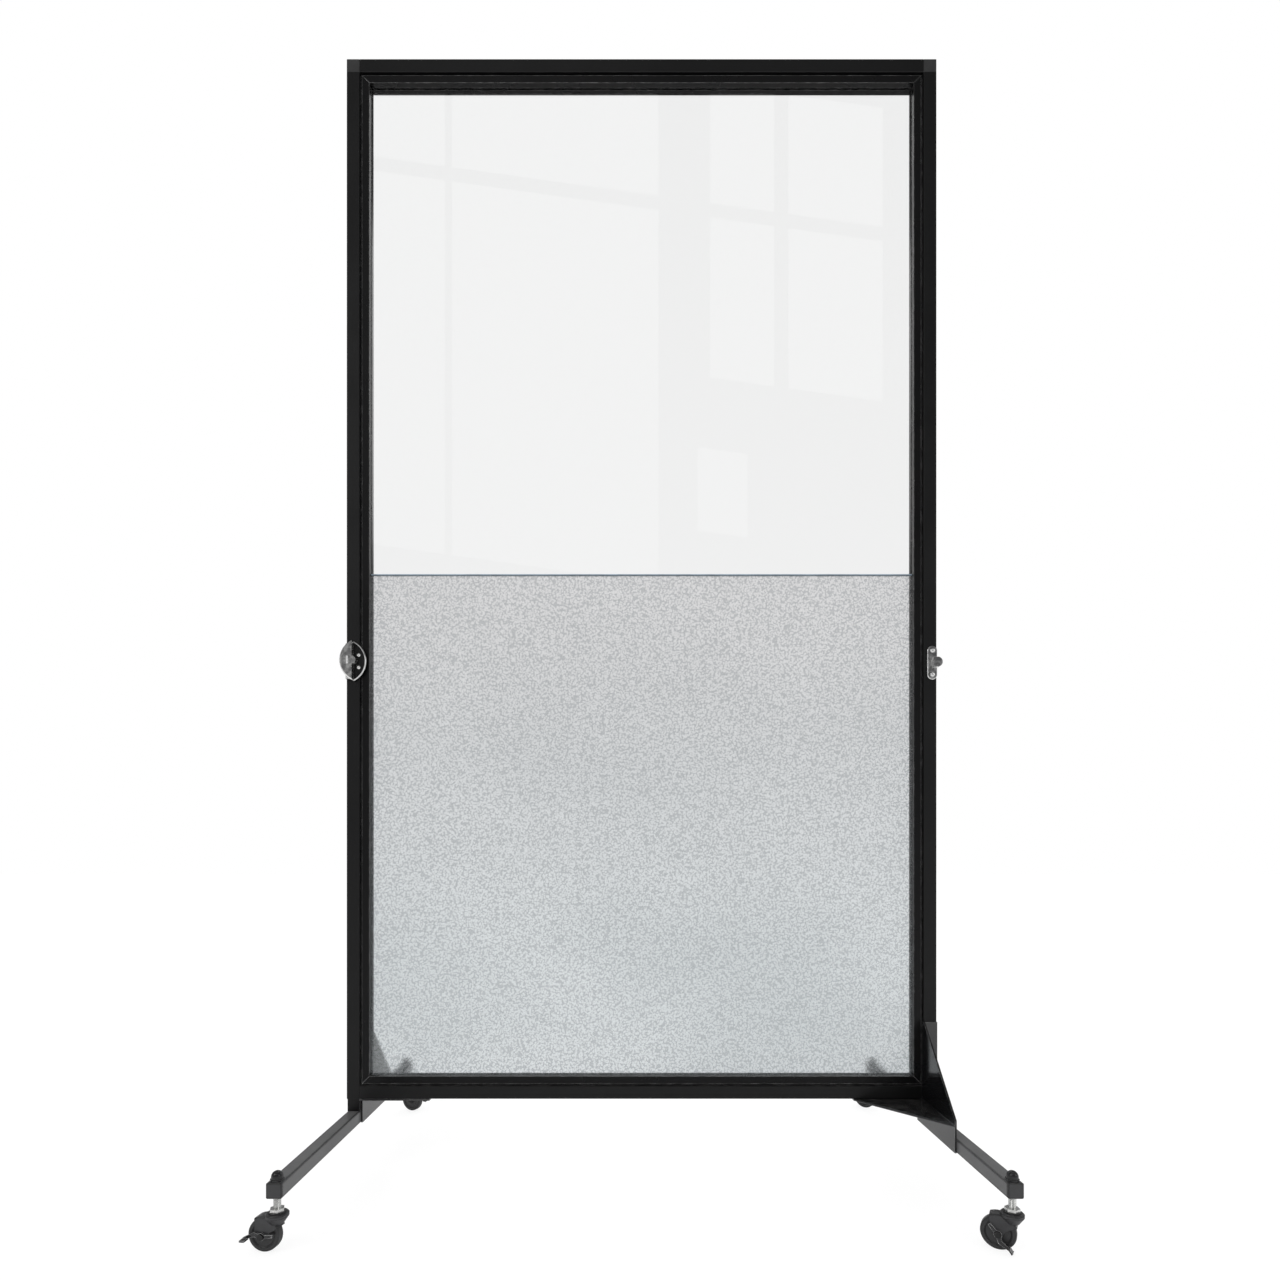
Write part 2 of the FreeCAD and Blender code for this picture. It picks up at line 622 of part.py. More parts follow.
def wheel_piece():
    """Wheel with a rounded tread, a recessed disc in each face and a bore for the axle."""
    shoulder = [(f"wheel_radius - {1 - math.sin(math.radians(angle)):.6f} * tread_round",
                 f"wheel_width / 2 - {1 - math.cos(math.radians(angle)):.6f} * tread_round")
                for angle in (0, 30, 60, 90)]
    face = "(wheel_width / 2)"
    bore = "(axle_radius + running_play)"
    floor = f"({face} - hub_recess)"
    wheel = turned("XY_Plane", "V_Axis", mirrored([
        (bore, face), (f"{bore} + hub_collar", face), (f"{bore} + hub_collar + hub_recess", floor),
        ("hub_radius - hub_recess", floor), ("hub_radius", face), *shoulder]))
    return put(wheel, "-caster_trail", 0, "wheel_radius")


def axle_piece():
    """Axle pin through cheeks, wheel and brake lever, with a head at each end."""
    low = f"(-{CHEEK_SIDE} - lever_gap - lever_thickness - head_gap)"
    head = "axle_radius + axle_head"
    pin = rod("-caster_trail", low, "wheel_radius", "axle_radius", f"{CHEEK_SIDE} - {low}", BACK)
    near_head = rod("-caster_trail", f"{low} - axle_head_height", "wheel_radius",
                    head, "axle_head_height", BACK)
    far_head = rod("-caster_trail", CHEEK_SIDE, "wheel_radius", head, "axle_head_height", BACK)
    return join(pin, near_head, far_head)


def lever_piece(fall):
    """Brake lever: a bent blade across the wheel, with its eye on the axle and a foot at its tip."""
    blade = extruded("XZ_Plane", "lever_thickness",
                     [("lever_tail", "lever_tail_rise - lever_end / 2"),
                      ("lever_tail", "lever_tail_rise + lever_end / 2"),
                      (0, "lever_width / 2"), ("-lever_knee", "lever_rise + lever_width / 2"),
                      ("-lever_reach", "lever_end / 2 - lever_drop"),
                      ("-lever_reach", "-lever_end / 2 - lever_drop"),
                      ("-lever_knee", "lever_rise - lever_width / 2"), (0, "-lever_width / 2")])
    eye = rod(0, "-lever_thickness", 0, "lever_eye", "lever_thickness", BACK)
    foot = box("-lever_reach", "-lever_foot", "-lever_drop - lever_thickness / 2",
               "lever_foot_length", "lever_foot", "lever_thickness")
    bore = rod(0, f"-lever_thickness - {PAST}", 0,
               "axle_radius + running_play", f"lever_thickness + 2 * {PAST}", BACK)
    arm = cut(join(blade, eye, foot), bore)
    fallen = ((0, 1, 0), -value(fall))
    return group(put(arm, "-caster_trail", f"-{CHEEK_SIDE} - lever_gap", "wheel_radius", fallen))


# A caster has one wheel. Its node was named in the plural at first and keeps that name.
CASTERS = [("front_left", -1, -1), ("front_right", 1, -1), ("rear_left", -1, 1), ("rear_right", 1, 1)]
for name, side, end in CASTERS:
    turn = f"{name}_turn"
    keep(seat(group(stem_piece()), side, end, turn), f"{name}_caster_stem")
    keep(seat(group(hood_piece()), side, end, turn), f"{name}_caster_hood")
    keep(seat(group(wheel_piece()), side, end, turn), f"{name}_caster_wheels")
    keep(seat(group(axle_piece()), side, end, turn), f"{name}_caster_axle")
    keep(seat(lever_piece(f"{name}_lever"), side, end, turn), f"{name}_brake_lever")


# Latch and keeper, which tie one panel to the next edge to edge

LATCH_X = "(-frame_width / 2 - latch_overhang + latch_belly)"
LATCH_FACE = f"(-{FACE} - latch_base)"
LATCH_ROUND = "((latch_length / 2 * latch_length / 2 + latch_belly * latch_belly) / (2 * latch_belly))"


def half_moon(side, face, thickness, radius, bevel):
    """Half moon left (-1) or right (1) of the latch's pin, its front face bevelled all round."""
    disc = turned("XY_Plane", "V_Axis",
                  [(0, 0), (f"{radius} - {bevel}", 0), (radius, bevel), (radius, thickness), (0, thickness)])
    centre = f"({LATCH_X} {'+' if side < 0 else '-'} ({LATCH_ROUND} - latch_belly))"
    put(disc, centre, face, "latch_level")
    low_x = f"{LATCH_X}" if side < 0 else f"{LATCH_X} - 2 * {LATCH_ROUND}"
    rest = box(low_x, f"{face} - {PAST}", f"latch_level - {LATCH_ROUND}",
               f"2 * {LATCH_ROUND}", f"{thickness} + 2 * {PAST}", f"2 * {LATCH_ROUND}")
    return cut(disc, rest)


def latch():
    """Base plate with its rimmed recess and pivot pin, and the crescent that turns on the pin."""
    plate = box("-frame_width / 2", LATCH_FACE, "latch_level - latch_base_length / 2",
                f"{LATCH_X} + frame_width / 2", "latch_base", "latch_base_length")
    moon = half_moon(1, LATCH_FACE, "latch_base", LATCH_ROUND, "latch_rim / 2")
    recess = half_moon(1, f"({LATCH_FACE} - {PAST})", f"(latch_recess + {PAST})",
                       f"({LATCH_ROUND} - latch_rim)", f"{PAST} / 2")
    island = rod(LATCH_X, LATCH_FACE, "latch_level", "latch_hub", "latch_base", BACK)
    pin_length = "(latch_gap + latch_lever - latch_cover - pin_room)"
    pin = rod(LATCH_X, f"{LATCH_FACE} - {pin_length}", "latch_level",
              "latch_pin", f"{pin_length} + {PAST}", BACK)
    keep(join(cut(join(plate, moon), recess), island, pin), "latch_base")
    low_y = f"({LATCH_FACE} - latch_gap - latch_lever)"
    moon_lever = half_moon(-1, low_y, "latch_lever", LATCH_ROUND, "latch_bevel")
    hub = rod(LATCH_X, low_y, "latch_level", "latch_hub", "latch_lever", BACK)
    bore = rod(LATCH_X, f"{low_y} + latch_cover", "latch_level",
               "latch_pin + running_play", "latch_lever", BACK)
    slot = box(f"{LATCH_X} - latch_slot_inset - latch_slot_width / 2", f"{low_y} - {PAST}",
               "latch_level - latch_slot_length / 2", "latch_slot_width", f"latch_slot_depth + {PAST}",
               "latch_slot_length")
    keep(cut(join(moon_lever, hub), bore, slot), "latch_lever")


def keeper():
    """Plate with round ends, and the round tongue that the next panel's latch catches."""
    left = "(frame_width / 2 - keeper_width)"
    half = "(keeper_width / 2)"
    plate = box(left, f"-{FACE} - keeper_plate", f"keeper_level - keeper_length / 2 + {half}",
                "keeper_width", "keeper_plate", "keeper_length - keeper_width")
    ends = [rod(f"{left} + {half}", f"-{FACE} - keeper_plate",
                f"keeper_level {sign} (keeper_length / 2 - {half})",
                half, "keeper_plate", BACK) for sign in ("-", "+")]
    eased = bevelled(join(plate, *ends), "keeper_edge", rim_of((1, 0)))
    tongue_x = "frame_width / 2 + keeper_reach - keeper_tongue / 2"
    root = box(f"{left} + {half}", f"-{FACE} - keeper_rise", "keeper_level - keeper_tongue / 2",
               f"{tongue_x} - ({left} + {half})", "keeper_rise - keeper_lift", "keeper_tongue")
    tip = rod(tongue_x, f"-{FACE} - keeper_rise", "keeper_level",
              "keeper_tongue / 2", "keeper_rise - keeper_lift", BACK)
    keep(join(eased, root, tip), "latch_keeper")


latch()
keeper()


# Check every object, then write one file for each sub-part

doc.recompute()
for thing in doc.Objects:
    if "Invalid" in thing.State or "Error" in thing.State:
        raise RuntimeError(f"{thing.Name} ({thing.Label}) failed: {thing.State}")
for thing in SUB_PARTS:
    if thing.Shape.isNull() or not thing.Shape.isValid() or not thing.Shape.Solids:
        raise RuntimeError(f"{thing.Label} has no valid solid")
os.makedirs("parts", exist_ok=True)
for thing in SUB_PARTS:
    thing.Shape.exportStep(f"parts/{thing.Label}.step")
print(f"{len(SUB_PARTS)} sub-parts written")
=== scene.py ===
"""Looks of a free-standing acrylic partition: finishes, small fittings, camera and studio."""

import logging
import math
from collections.abc import Iterable
from dataclasses import dataclass
from enum import Enum

import bmesh
import bpy
from mathutils import Matrix, Vector


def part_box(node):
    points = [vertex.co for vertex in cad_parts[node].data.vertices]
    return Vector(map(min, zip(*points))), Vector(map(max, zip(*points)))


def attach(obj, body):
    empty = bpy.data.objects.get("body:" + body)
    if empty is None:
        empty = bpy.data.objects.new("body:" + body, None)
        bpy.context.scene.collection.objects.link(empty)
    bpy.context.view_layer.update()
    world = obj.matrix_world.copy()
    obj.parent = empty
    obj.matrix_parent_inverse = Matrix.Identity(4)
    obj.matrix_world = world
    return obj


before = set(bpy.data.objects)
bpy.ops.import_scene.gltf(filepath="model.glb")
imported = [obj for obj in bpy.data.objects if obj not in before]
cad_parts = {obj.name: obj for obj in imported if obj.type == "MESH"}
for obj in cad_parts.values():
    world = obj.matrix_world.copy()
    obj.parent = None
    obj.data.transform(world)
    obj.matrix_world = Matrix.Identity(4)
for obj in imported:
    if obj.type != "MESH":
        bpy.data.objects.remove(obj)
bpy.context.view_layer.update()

LOG = logging.getLogger("partition")
MILLI = 0.001
CREASE = math.radians(35)        # faces that meet at less than this are shaded as one
RING_STEPS = 32

Colour = tuple[float, float, float]
Socket = bpy.types.NodeSocket
Sockets = dict[str, Socket]

WHITE: Colour = (1.0, 1.0, 1.0)
DUST_GREY: Colour = (0.42, 0.41, 0.39)


class Side(Enum):
    """Which of the two legs."""

    LEFT = "left"
    RIGHT = "right"


class Corner(Enum):
    """Which of the four casters."""

    FRONT_LEFT = "front_left"
    FRONT_RIGHT = "front_right"
    REAR_LEFT = "rear_left"
    REAR_RIGHT = "rear_right"


# Shader wiring


class Wiring:
    """Adds nodes to one tree and joins their sockets."""

    def __init__(self, tree: bpy.types.NodeTree) -> None:
        """Start on a tree.

        Args:
            tree: the node tree that the nodes go into.
        """
        self.tree = tree

    def add(self, kind: str, inputs: dict[str | int, object] | None = None,
            **settings: object) -> bpy.types.Node:
        """Add a node.

        Args:
            kind: the node's Blender type.
            inputs: values or sockets for its inputs, by name or index.
            settings: properties of the node.

        Returns:
            The new node.
        """
        node = self.tree.nodes.new(kind)
        for name, setting in settings.items():
            setattr(node, name, setting)
        for name, source in (inputs or {}).items():
            self.feed(node.inputs[name], source)
        return node

    def feed(self, target: Socket, source: object) -> None:
        """Join a socket to an input, or set the input to a value.

        Args:
            target: the input.
            source: a socket, a number or a colour.
        """
        if isinstance(source, bpy.types.NodeSocket):
            self.tree.links.new(source, target)
        elif target.type == "RGBA":
            target.default_value = (*source, 1.0) if len(source) == 3 else source
        else:
            target.default_value = source

    def math(self, operation: str, first: object, second: object = 0.5, clamp: bool = False) -> Socket:
        """One step of arithmetic.

        Args:
            operation: Blender's name of it.
            first: value or socket.
            second: value or socket.
            clamp: keep the result between 0 and 1.

        Returns:
            The result's socket.
        """
        node = self.add("ShaderNodeMath", {0: first, 1: second}, operation=operation, use_clamp=clamp)
        return node.outputs[0]

    def mix(self, mask: object, first: object, second: object) -> Socket:
        """Blend two colours by a mask.

        Args:
            mask: value or socket from 0 to 1.
            first: colour or socket shown at 0.
            second: colour or socket shown at 1.

        Returns:
            The blended colour's socket.
        """
        node = self.add("ShaderNodeMix", data_type="RGBA")
        self.feed(node.inputs[0], mask)
        self.feed(node.inputs[6], first)
        self.feed(node.inputs[7], second)
        return node.outputs[2]

    def ramp(self, source: Socket, low: object, high: object) -> Socket:
        """Stretch the span from low to high over 0 to 1, smoothly.

        Args:
            source: the socket to stretch.
            low: value or socket that becomes 0.
            high: value or socket that becomes 1.

        Returns:
            The stretched value's socket.
        """
        node = self.add("ShaderNodeMapRange", {"Value": source, "From Min": low, "From Max": high},
                        interpolation_type="SMOOTHSTEP")
        return node.outputs[0]

    def noise(self, scale: object, detail: float = 2.0, roughness: float = 0.5,
              place: Socket | None = None) -> Socket:
        """Noise in the object's own metres.

        Args:
            scale: how many features a metre.
            detail: octaves.
            roughness: weight of the finer octaves.
            place: coordinates, or the object's own.

        Returns:
            The noise value's socket.
        """
        node = self.add("ShaderNodeTexNoise", {"Vector": place or self.place(), "Scale": scale,
                                               "Detail": detail, "Roughness": roughness})
        return node.outputs[0]

    def place(self) -> Socket:
        """The object's own coordinates in metres."""
        return self.add("ShaderNodeTexCoord").outputs["Object"]

    def along(self, axis: str, vector: Socket | None = None) -> Socket:
        """One coordinate of a vector, or of the object's own place."""
        return self.add("ShaderNodeSeparateXYZ", {0: vector or self.place()}).outputs[axis]

    def normal(self) -> Socket:
        """The face's normal."""
        return self.add("ShaderNodeNewGeometry").outputs["Normal"]


@dataclass(frozen=True)
class Port:
    """One named socket of an effect."""

    name: str
    kind: str
    default: float | tuple[float, ...] = 0.0


FLOAT, COLOUR = "NodeSocketFloat", "NodeSocketColor"


class Effect:
    """A surface effect that several finishes share, kept as one node group."""

    name = "effect"
    takes: tuple[Port, ...] = ()
    gives: tuple[Port, ...] = ()

    def wire(self, wiring: Wiring, taken: Sockets) -> Sockets:
        """Wire the group's inside.

        Args:
            wiring: adds nodes to the group.
            taken: the group's input sockets, by name.

        Returns:
            The socket for each output, by name.
        """
        raise NotImplementedError

    def tree(self) -> bpy.types.NodeTree:
        """Make the node group once.

        Returns:
            The node group.
        """
        made = bpy.data.node_groups.get(self.name)
        if made:
            return made
        made = bpy.data.node_groups.new(self.name, "ShaderNodeTree")
        for port in self.takes:
            socket = made.interface.new_socket(port.name, in_out="INPUT", socket_type=port.kind)
            socket.default_value = port.default
        for port in self.gives:
            made.interface.new_socket(port.name, in_out="OUTPUT", socket_type=port.kind)
        wiring = Wiring(made)
        source = wiring.add("NodeGroupInput")
        target = wiring.add("NodeGroupOutput")
        taken = {port.name: source.outputs[port.name] for port in self.takes}
        for name, socket in self.wire(wiring, taken).items():
            made.links.new(socket, target.inputs[name])
        return made

    def place(self, wiring: Wiring, **values: object) -> bpy.types.NodeOutputs:
        """Place the effect in a material.

        Args:
            wiring: adds nodes to the material.
            values: the inputs, by name.

        Returns:
            The group node's outputs.
        """
        return wiring.add("ShaderNodeGroup", values, node_tree=self.tree()).outputs


class EdgeWearAndPaintedLight(Effect):
    """Mask of outer edges, broken up into patches so that no edge is even; it carries rubbing and also
    painted edge highlight and painted edge shade.
    """

    name = "edge wear"
    takes = (Port("Radius", FLOAT, 0.0012), Port("Breakup", FLOAT, 90.0), Port("Amount", FLOAT, 0.5),
             Port("Bend", FLOAT, 0.22))
    gives = (Port("Mask", FLOAT),)
    first_bend = 0.1         # share of the bend at which the mask begins
    patch_span = (0.38, 0.72)
    between_patches = 0.25   # share of the edge mask that is left there

    def wire(self, wiring: Wiring, taken: Sockets) -> Sockets:
        """Wire the mask from how far the rounded normal leans off the face.

        Args:
            wiring: adds nodes to the group.
            taken: the group's input sockets, by name.

        Returns:
            The mask's socket, by name.
        """
        rounded = wiring.add("ShaderNodeBevel", {"Radius": taken["Radius"]}, samples=6)
        alike = wiring.add("ShaderNodeVectorMath", {0: rounded.outputs[0], 1: wiring.normal()},
                           operation="DOT_PRODUCT")
        lean = wiring.math("SUBTRACT", 1.0, alike.outputs["Value"])
        edge = wiring.ramp(lean, wiring.math("MULTIPLY", taken["Bend"], self.first_bend), taken["Bend"])
        patches = wiring.ramp(wiring.noise(taken["Breakup"], 4.0, 0.65), *self.patch_span)
        share = wiring.math("ADD", wiring.math("MULTIPLY", patches, 1.0 - self.between_patches),
                            self.between_patches)
        edge_wear_and_painted_light = wiring.math("MULTIPLY", edge, share)
        return {"Mask": wiring.math("MULTIPLY", edge_wear_and_painted_light, taken["Amount"], clamp=True)}


class FineGrain(Effect):
    """Fine even grain of a coating or a moulding, as a height and as a tone."""

    name = "fine grain"
    takes = (Port("Scale", FLOAT, 1400.0), Port("Waviness", FLOAT, 90.0))
    gives = (Port("Height", FLOAT), Port("Tone", FLOAT))
    fine_share = 0.6
    tone_span = (0.3, 0.7)

    def wire(self, wiring: Wiring, taken: Sockets) -> Sockets:
        """Wire fine grain over a longer wave.

        Args:
            wiring: adds nodes to the group.
            taken: the group's input sockets, by name.

        Returns:
            The sockets of height and tone, by name.
        """
        fine = wiring.noise(taken["Scale"], 2.0, 0.6)
        wave = wiring.noise(taken["Waviness"], 1.0, 0.4)
        height = wiring.math("ADD", wiring.math("MULTIPLY", fine, self.fine_share),
                             wiring.math("MULTIPLY", wave, 1.0 - self.fine_share))
        return {"Height": height, "Tone": wiring.ramp(fine, *self.tone_span)}


class Handling(Effect):
    """Smudges of handling, which change how sharply a surface shines."""

    name = "handling smudges"
    takes = (Port("Scale", FLOAT, 6.0), Port("Low", FLOAT, 0.3), Port("High", FLOAT, 0.4))
    gives = (Port("Roughness", FLOAT), Port("Mask", FLOAT))
    smudge_span = (0.35, 0.68)

    def wire(self, wiring: Wiring, taken: Sockets) -> Sockets:
        """Wire broad smudges between the two roughnesses.

        Args:
            wiring: adds nodes to the group.
            taken: the group's input sockets, by name.

        Returns:
            The sockets of roughness and mask, by name.
        """
        mask = wiring.ramp(wiring.noise(taken["Scale"], 5.0, 0.55), *self.smudge_span)
        span = wiring.math("SUBTRACT", taken["High"], taken["Low"])
        rough = wiring.math("ADD", taken["Low"], wiring.math("MULTIPLY", span, mask))
        return {"Roughness": rough, "Mask": mask}


class Dust(Effect):
    """Thin dust on faces that look up."""

    name = "settled dust"
    takes = (Port("Amount", FLOAT, 0.2), Port("Scale", FLOAT, 40.0))
    gives = (Port("Mask", FLOAT),)
    upward_span = (0.45, 1.0)
    patch_span = (0.35, 0.8)

    def wire(self, wiring: Wiring, taken: Sockets) -> Sockets:
        """Wire patches of dust where the face looks up.

        Args:
            wiring: adds nodes to the group.
            taken: the group's input sockets, by name.

        Returns:
            The mask's socket, by name.
        """
        upward = wiring.ramp(wiring.along("Z", wiring.normal()), *self.upward_span)
        patches = wiring.ramp(wiring.noise(taken["Scale"], 6.0, 0.7), *self.patch_span)
        lying = wiring.math("MULTIPLY", upward, patches)
        return {"Mask": wiring.math("MULTIPLY", lying, taken["Amount"], clamp=True)}


class Pebble(Effect):
    """Winding pebble relief on the front face of a patterned sheet, with a mask of the valleys for painted
    shade; the back face is smooth.
    """

    name = "pebble relief"
    takes = (Port("Pitch", FLOAT, 0.005),)
    gives = (Port("Height", FLOAT), Port("Valley shade", FLOAT))
    winding = 90.0           # bends a metre
    reach = 8.0 * MILLI      # how far the cells are bent
    dome_span = (0.05, 0.75)
    valley_span = (0.42, 0.62)

    def wire(self, wiring: Wiring, taken: Sockets) -> Sockets:
        """Wire bent cells, as domes with valleys between them, the valleys also as a mask for painted shade.

        Args:
            wiring: adds nodes to the group.
            taken: the group's input sockets, by name.

        Returns:
            The sockets of height and of the valleys' painted shade mask, by name.
        """
        density = wiring.math("DIVIDE", 1.0, taken["Pitch"])
        bend = wiring.add("ShaderNodeTexNoise", {"Vector": wiring.place(), "Scale": self.winding,
                                                 "Detail": 1.0})
        shift = wiring.add("ShaderNodeVectorMath", {0: bend.outputs["Color"], 3: self.reach},
                           operation="SCALE")
        bent = wiring.add("ShaderNodeVectorMath", {0: wiring.place(), 1: shift.outputs[0]}, operation="ADD")
        cells = wiring.add("ShaderNodeTexVoronoi", {"Vector": bent.outputs[0], "Scale": density})
        front = wiring.math("LESS_THAN", wiring.along("Y"), 0.0)
        dome = wiring.math("SUBTRACT", 1.0, wiring.ramp(cells.outputs["Distance"], *self.dome_span))
        valley_shade = wiring.ramp(cells.outputs["Distance"], *self.valley_span)
        return {"Height": wiring.math("MULTIPLY", dome, front),
                "Valley shade": wiring.math("MULTIPLY", valley_shade, front)}


class Clouds(Effect):
    """Slow drift between two tones low on a large sheet, which passes into a third higher up."""

    name = "clouded tone"
    takes = (Port("Low", COLOUR, (0.5, 0.5, 0.5, 1.0)), Port("Middle", COLOUR, (0.6, 0.6, 0.6, 1.0)),
             Port("High", COLOUR, (0.7, 0.7, 0.7, 1.0)), Port("Scale", FLOAT, 2.0))
    gives = (Port("Color", COLOUR),)
    stretch = (1.0, 1.0, 1.7)
    start = (3.1, 0.0, 1.4)
    drift_span = (0.32, 0.68)
    rise_span = (0.3, 1.1)   # metres over the floor
    rise_share = 0.85

    def wire(self, wiring: Wiring, taken: Sockets) -> Sockets:
        """Wire the drift and the rise.

        Args:
            wiring: adds nodes to the group.
            taken: the group's input sockets, by name.

        Returns:
            The colour's socket, by name.
        """
        stretched = wiring.add("ShaderNodeMapping", {"Vector": wiring.place(), "Scale": self.stretch,
                                                     "Location": self.start}).outputs[0]
        drift = wiring.ramp(wiring.noise(taken["Scale"], 2.0, 0.45, stretched), *self.drift_span)
        rise = wiring.math("MULTIPLY", wiring.ramp(wiring.along("Z"), *self.rise_span), self.rise_share)
        base = wiring.mix(drift, taken["Low"], taken["Middle"])
        return {"Color": wiring.mix(rise, base, taken["High"])}


class Streaks(Effect):
    """Fine lines drawn along a metal's length, as a height and as a tone."""

    name = "drawn streaks"
    takes = (Port("Scale", FLOAT, 900.0), Port("Stretch", FLOAT, 0.06))
    gives = (Port("Height", FLOAT), Port("Tone", FLOAT))
    tone_span = (0.35, 0.65)

    def wire(self, wiring: Wiring, taken: Sockets) -> Sockets:
        """Wire noise squeezed along Z.

        Args:
            wiring: adds nodes to the group.
            taken: the group's input sockets, by name.

        Returns:
            The sockets of height and tone, by name.
        """
        squeeze = wiring.add("ShaderNodeCombineXYZ", {"X": 1.0, "Y": 1.0, "Z": taken["Stretch"]})
        drawn = wiring.add("ShaderNodeVectorMath", {0: wiring.place(), 1: squeeze.outputs[0]},
                           operation="MULTIPLY")
        lines = wiring.noise(taken["Scale"], 3.0, 0.7, drawn.outputs[0])
        return {"Height": lines, "Tone": wiring.ramp(lines, *self.tone_span)}


# Finishes


@dataclass(frozen=True)
class Finish:
    """A surface finish that makes its own material once."""

    name: str

    def material(self) -> bpy.types.Material:
        """Make the finish's material once.

        Returns:
            The material.
        """
        own_name = f"{self.name}_finish"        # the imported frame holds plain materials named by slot
        made = bpy.data.materials.get(own_name)
        if made:
            return made
        made = bpy.data.materials.new(own_name)
        wiring = emptied(made)
        output = wiring.add("ShaderNodeOutputMaterial")
        wiring.feed(output.inputs["Surface"], self.shade(wiring))
        return made

    def shade(self, wiring: Wiring) -> Socket:
        """Wire the surface.

        Args:
            wiring: adds nodes to the material.

        Returns:
            The shader's socket.
        """
        raise NotImplementedError


def emptied(owner: bpy.types.Material | bpy.types.World) -> Wiring:
    """Empty the node tree of a material or a world.

    Args:
        owner: the material or world.

    Returns:
        What adds nodes to its tree.
    """
    owner.use_nodes = True
    owner.node_tree.nodes.clear()
    return Wiring(owner.node_tree)


def principled(wiring: Wiring, **inputs: object) -> Socket:
    """Principled shader with its inputs given by name, spaces written as underscores."""
    named = {name.replace("_", " "): source for name, source in inputs.items()}
    return wiring.add("ShaderNodeBsdfPrincipled", named).outputs[0]


def relief(wiring: Wiring, height: Socket, strength: float, distance: float) -> Socket:
    """Bump normal from a height.

    Args:
        wiring: adds nodes to the material.
        height: the height's socket.
        strength: how much of it shows.
        distance: depth of the relief in metres.

    Returns:
        The normal's socket.
    """
    bump = wiring.add("ShaderNodeBump", {"Height": height, "Strength": strength, "Distance": distance})
    return bump.outputs[0]


def lifted(body: Colour, gain: float, least: float = 0.001) -> Colour:
    """A body colour made lighter for the high spots of its grain."""
    return tuple(min(1.0, channel * gain + least) for channel in body)


@dataclass(frozen=True)
class PowderCoat(Finish):
    """Baked powder paint over metal: orange peel, smudges, a little dust and an edge colour that each finish
    sets as rubbing, painted highlight or painted shade.
    """

    body: Colour = (0.02, 0.02, 0.021)
    # edge colour: rubbing on the frame, painted highlight on the channels, gussets and levers, painted shade
    # on the legs
    edge_wear_and_painted_light: Colour = (0.22, 0.22, 0.22)
    gloss_low: float = 0.3
    gloss_high: float = 0.44
    wear_and_painted_light: float = 0.35
    wear_and_painted_light_radius: float = 1.1 * MILLI
    wear_and_painted_light_bend: float = 0.22
    dust: float = 0.12
    dust_dulling: float = 0.5
    peel: float = 0.12
    peel_depth: float = 0.2 * MILLI
    shine: float = 0.5
    grain_gain: float = 1.4

    def shade(self, wiring: Wiring) -> Socket:
        """Wire the paint.

        Args:
            wiring: adds nodes to the material.

        Returns:
            The shader's socket.
        """
        grain = FineGrain().place(wiring, Scale=1500.0, Waviness=220.0)
        wear_and_painted_light = EdgeWearAndPaintedLight().place(wiring, Radius=self.wear_and_painted_light_radius, Breakup=70.0, Amount=self.wear_and_painted_light,
                                Bend=self.wear_and_painted_light_bend)
        smudge = Handling().place(wiring, Scale=7.0, Low=self.gloss_low, High=self.gloss_high)
        dust = Dust().place(wiring, Amount=self.dust, Scale=60.0)
        toned = wiring.mix(grain["Tone"], self.body, lifted(self.body, self.grain_gain))
        # edges coloured through the mask: painted highlight or painted shade on most finishes, rubbing on the
        # frame
        rubbed_and_painted_light_edges = wiring.mix(wear_and_painted_light["Mask"], toned, self.edge_wear_and_painted_light)
        dusty = wiring.mix(dust["Mask"], rubbed_and_painted_light_edges, DUST_GREY)
        dulled = wiring.math("MULTIPLY", dust["Mask"], self.dust_dulling)
        rough = wiring.math("ADD", smudge["Roughness"], dulled, clamp=True)
        return principled(wiring, Base_Color=dusty, Roughness=rough, Specular_IOR_Level=self.shine,
                          Normal=relief(wiring, grain["Height"], self.peel, self.peel_depth))


@dataclass(frozen=True)
class Moulding(Finish):
    """Moulded plastic: fine spark-eroded grain, a trace of mould flow and an edge colour, which is scuffs on
    some mouldings and painted shade on others.
    """

    body: Colour = (0.03, 0.03, 0.032)
    # edge colour: lighter scuffs on corner blocks, nuts and strip, painted shade on plugs, hoods and wheels
    scuff_and_painted_shade: Colour = (0.16, 0.16, 0.165)
    gloss_low: float = 0.38
    gloss_high: float = 0.55
    wear_and_painted_light: float = 0.25
    wear_and_painted_light_radius: float = 0.7 * MILLI
    wear_and_painted_light_bend: float = 0.22
    dust: float = 0.15
    grain: float = 0.25
    grain_depth: float = 0.12 * MILLI
    flow_gain: float = 1.3

    def shade(self, wiring: Wiring) -> Socket:
        """Wire the moulding.

        Args:
            wiring: adds nodes to the material.

        Returns:
            The shader's socket.
        """
        grain = FineGrain().place(wiring, Scale=2600.0, Waviness=160.0)
        wear_and_painted_light = EdgeWearAndPaintedLight().place(wiring, Radius=self.wear_and_painted_light_radius, Breakup=160.0, Amount=self.wear_and_painted_light,
                                Bend=self.wear_and_painted_light_bend)
        smudge = Handling().place(wiring, Scale=30.0, Low=self.gloss_low, High=self.gloss_high)
        dust = Dust().place(wiring, Amount=self.dust, Scale=120.0)
        toned = wiring.mix(smudge["Mask"], self.body, lifted(self.body, self.flow_gain))
        # edges coloured through the mask: scuffs, and on plugs, hoods and wheels painted shade
        scuffed_and_painted_shade_edges = wiring.mix(wear_and_painted_light["Mask"], toned, self.scuff_and_painted_shade)
        return principled(wiring, Base_Color=wiring.mix(dust["Mask"], scuffed_and_painted_shade_edges, DUST_GREY),
                          Roughness=smudge["Roughness"],
                          Normal=relief(wiring, grain["Height"], self.grain, self.grain_depth))


